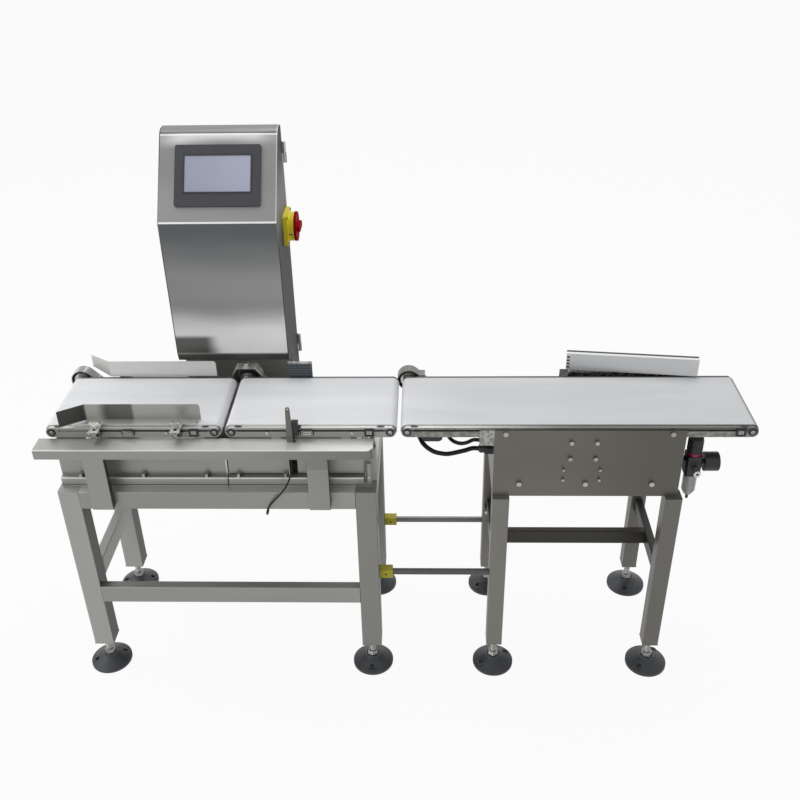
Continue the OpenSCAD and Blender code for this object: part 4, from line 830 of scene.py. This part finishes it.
# collar of the regulator's fitting, with a dark bore
collar = {"outer": 8.6, "length": 7, "edge": 1, "bore": 3.4, "deep": 5, "place": (703, -187, 616)}
rod(collar["outer"], collar["length"], 24)
bevelEdges(collar["edge"], topEdges(collar["length"]))
insetFaces(collar["outer"] - collar["edge"] - collar["bore"], 0, isTop(collar["length"]))
pushFaces(-collar["deep"], up, isMiddle)
setOut("fittingCollar", "machine", brightSteel, [(collar["place"], front, 0)])
bore = {"smaller": 0.2, "thick": 1, "rim": 0.8, "sink": 0.3, "out": 3}
rod(collar["bore"] - bore["smaller"], bore["thick"], 16)
insetFaces(bore["rim"], -bore["sink"], isTop(bore["thick"]))
setOut("fittingBore", "machine", blackPlastic,
       [(tuple(Vector(collar["place"]) + Vector(front) * bore["out"]), front, 0)])

# strip over the reflector, sensor window, notched end of the arm, plug and bolt on a rear leg
reflectorCap = {"wide": 60, "deep": 10, "thick": 1.6, "corner": 2.5, "rim": 1.4, "sink": 0.4,
                "place": (-235, 33.4, 788.4)}
brick(reflectorCap["wide"], reflectorCap["deep"], reflectorCap["thick"])
bevelEdges(reflectorCap["corner"], isUpright, 3)
insetFaces(reflectorCap["rim"], -reflectorCap["sink"], isTop(reflectorCap["thick"]))
setOut("reflectorCap", "machine", coverSteel, [(reflectorCap["place"], up, 0)])

sensorWindow = {"wide": 7, "deep": 7, "thick": 1.2, "dish": (0.5, 1.2, 0.4), "place": (-222.5, -201.3, 769.9)}
brick(sensorWindow["wide"], sensorWindow["deep"], sensorWindow["thick"])
dish(sensorWindow["thick"], *sensorWindow["dish"])
setOut("sensorWindow", "machine", blackMetal, [(sensorWindow["place"], up, 0)])

armNotch = {"wide": 7, "tall": 4.4, "thick": 0.8, "dish": (0.3, 1, 0.3, 1), "zs": (762, 771, 780, 789)}
brick(armNotch["wide"], armNotch["tall"], armNotch["thick"])
dish(armNotch["thick"], *armNotch["dish"])
setOut("armNotches", "swing_arm", blackMetal,
       [((armRest["x"], armRest["y"], z), (-armSin, -armCos, 0), 0) for z in armNotch["zs"]])

legPlug = {"wide": 15, "tall": 13, "thick": 3, "dish": (1, 3, 1), "place": (243, 90.2, 304)}
brick(legPlug["wide"], legPlug["tall"], legPlug["thick"])
dish(legPlug["thick"], *legPlug["dish"])
setOut("legPlug", "machine", blackPlastic, [(legPlug["place"], front, 0)])
legBolt = {"radius": 6, "height": 6, "dish": (0.8, 2, 0.6), "place": (241, 90.2, 283)}
rod(legBolt["radius"], legBolt["height"], 6)
dish(legBolt["height"], *legBolt["dish"])
setOut("legBolt", "machine", brightSteel, [(legBolt["place"], front, 0)])

# black saddle under the reject rail, above the cables
saddle = {"wide": 48, "deep": 12, "tall": 12, "end": 11, "edge": 1, "place": (88, -189, 721.7)}
brick(saddle["wide"], saddle["deep"], saddle["tall"])
bevelEdges(saddle["end"], lambda c, e: topEdges(saddle["tall"])(c, e) and abs(c.x) > saddle["wide"] / 2 - 1, 6)
bevelEdges(saddle["edge"], topEdges(saddle["tall"]))
setOut("cableSaddle", "machine", blackPlastic, [(saddle["place"], down, 0)])

# rubber lip under the rear guide, in lengths that leave room for the clamps
guideLip = {"long": 30.6, "thick": 1.8, "tall": 1.4, "edge": 0.4, "y": 32.5, "z": 752.05,
            "xs": (-647.5, -616.5, -585.5, -554.5, -523.5, -461.5)}
brick(guideLip["long"], guideLip["thick"], guideLip["tall"])
bevelEdges(guideLip["edge"], topEdges(guideLip["tall"]))
setOut("guideLip", "rear_guide", rubberBelt,
       [((x, guideLip["y"], guideLip["z"]), down, 0) for x in guideLip["xs"]])

# mottled strip that stands on the shelf, under the swing arm
strip = {"long": 298, "thick": 3, "tall": 38.3, "corner": 4, "edge": 0.5, "rim": 6, "sink": 0.4,
         "place": (573, 47.5, 714.1)}
brick(strip["long"], strip["thick"], strip["tall"])
bevelEdges(strip["corner"], lambda c, e: topEdges(strip["tall"])(c, e) and abs(c.x) > strip["long"] / 2 - 1, 4)
bevelEdges(strip["edge"], topEdges(strip["tall"]))
insetFaces(strip["rim"], -strip["sink"], lambda c, n: n.y < -0.9)
setOut("shelfStrip", "machine", stripSteel, [(strip["place"], up, 0)])
print("small fittings done")


# floor and light
def seenRays(finish):
    # rays from the camera, straight or by a mirror or through glass
    rays = finish.tree.nodes.new("ShaderNodeLightPath")
    seen = [Wire(finish, rays.outputs[n]) for n in ("Is Camera Ray", "Is Glossy Ray", "Is Transmission Ray")]
    return finish.node("ShaderNodeMath", {"operation": "ADD", "use_clamp": True},
                       {0: seen[0] + seen[1], 1: seen[2]})


floorPlan = {"radius": 14, "color": 0.66, "glow": 0.94}
fresh()
bpy.ops.mesh.primitive_circle_add(vertices=96, radius=floorPlan["radius"], fill_type="NGON", location=(0, 0, 0))
floor = bpy.context.object
floor.name = "floor"
floorFinish = Finish("floorPaper")
paper = floorFinish.node("ShaderNodeBsdfDiffuse", {}, {"Color": (floorPlan["color"],) * 3 + (1,)})
glow = floorFinish.node("ShaderNodeEmission", {}, {"Color": (1, 1, 1, 1), "Strength": 1.0})
floorMix = floorFinish.node("ShaderNodeMixShader", {},
                            {0: seenRays(floorFinish) * floorPlan["glow"], 1: paper, 2: glow})
floorFinish.tree.links.new(floorMix.socket, floorFinish.tree.nodes["Material Output"].inputs["Surface"])
floor.data.materials.append(floorFinish.material)

skyLevel = {"tint": (0.97, 0.98, 1, 1), "light": 0.38, "seen": 1.0}
scene.world = bpy.data.worlds.new("studio")
studio = Finish("studio", scene.world)
sky = studio.node("ShaderNodeBackground", {}, {"Color": skyLevel["tint"], "Strength": skyLevel["light"]})
white = studio.node("ShaderNodeBackground", {}, {"Color": (1, 1, 1, 1), "Strength": skyLevel["seen"]})
skyMix = studio.node("ShaderNodeMixShader", {}, {0: seenRays(studio), 1: sky, 2: white})
studio.tree.links.new(skyMix.socket, studio.tree.nodes["World Output"].inputs["Surface"])

lampPlan = {
    "sideLamp": {"place": (-2.7, 0.5, 3.4), "aim": (-0.1, 0, 0.7), "size": 2.2, "power": 55},
    "overheadLamp": {"place": (0.4, 1.2, 3.6), "aim": (0, 0, 0.7), "size": 2.4, "power": 42},
    "frontLamp": {"place": (-2.8, -2.8, 2.0), "aim": (0, 0, 0.6), "size": 2.0, "power": 32},
}
for name, plan in lampPlan.items():
    lamp = bpy.data.objects.new(name, bpy.data.lights.new(name, "AREA"))
    scene.collection.objects.link(lamp)
    lamp.location = plan["place"]
    lamp.rotation_euler = (Vector(plan["aim"]) - Vector(plan["place"])).to_track_quat("-Z", "Y").to_euler()
    lamp.data.size = plan["size"]
    lamp.data.energy = plan["power"]
    lamp.visible_camera = False
print("floor and light done")

bpy.context.view_layer.update()
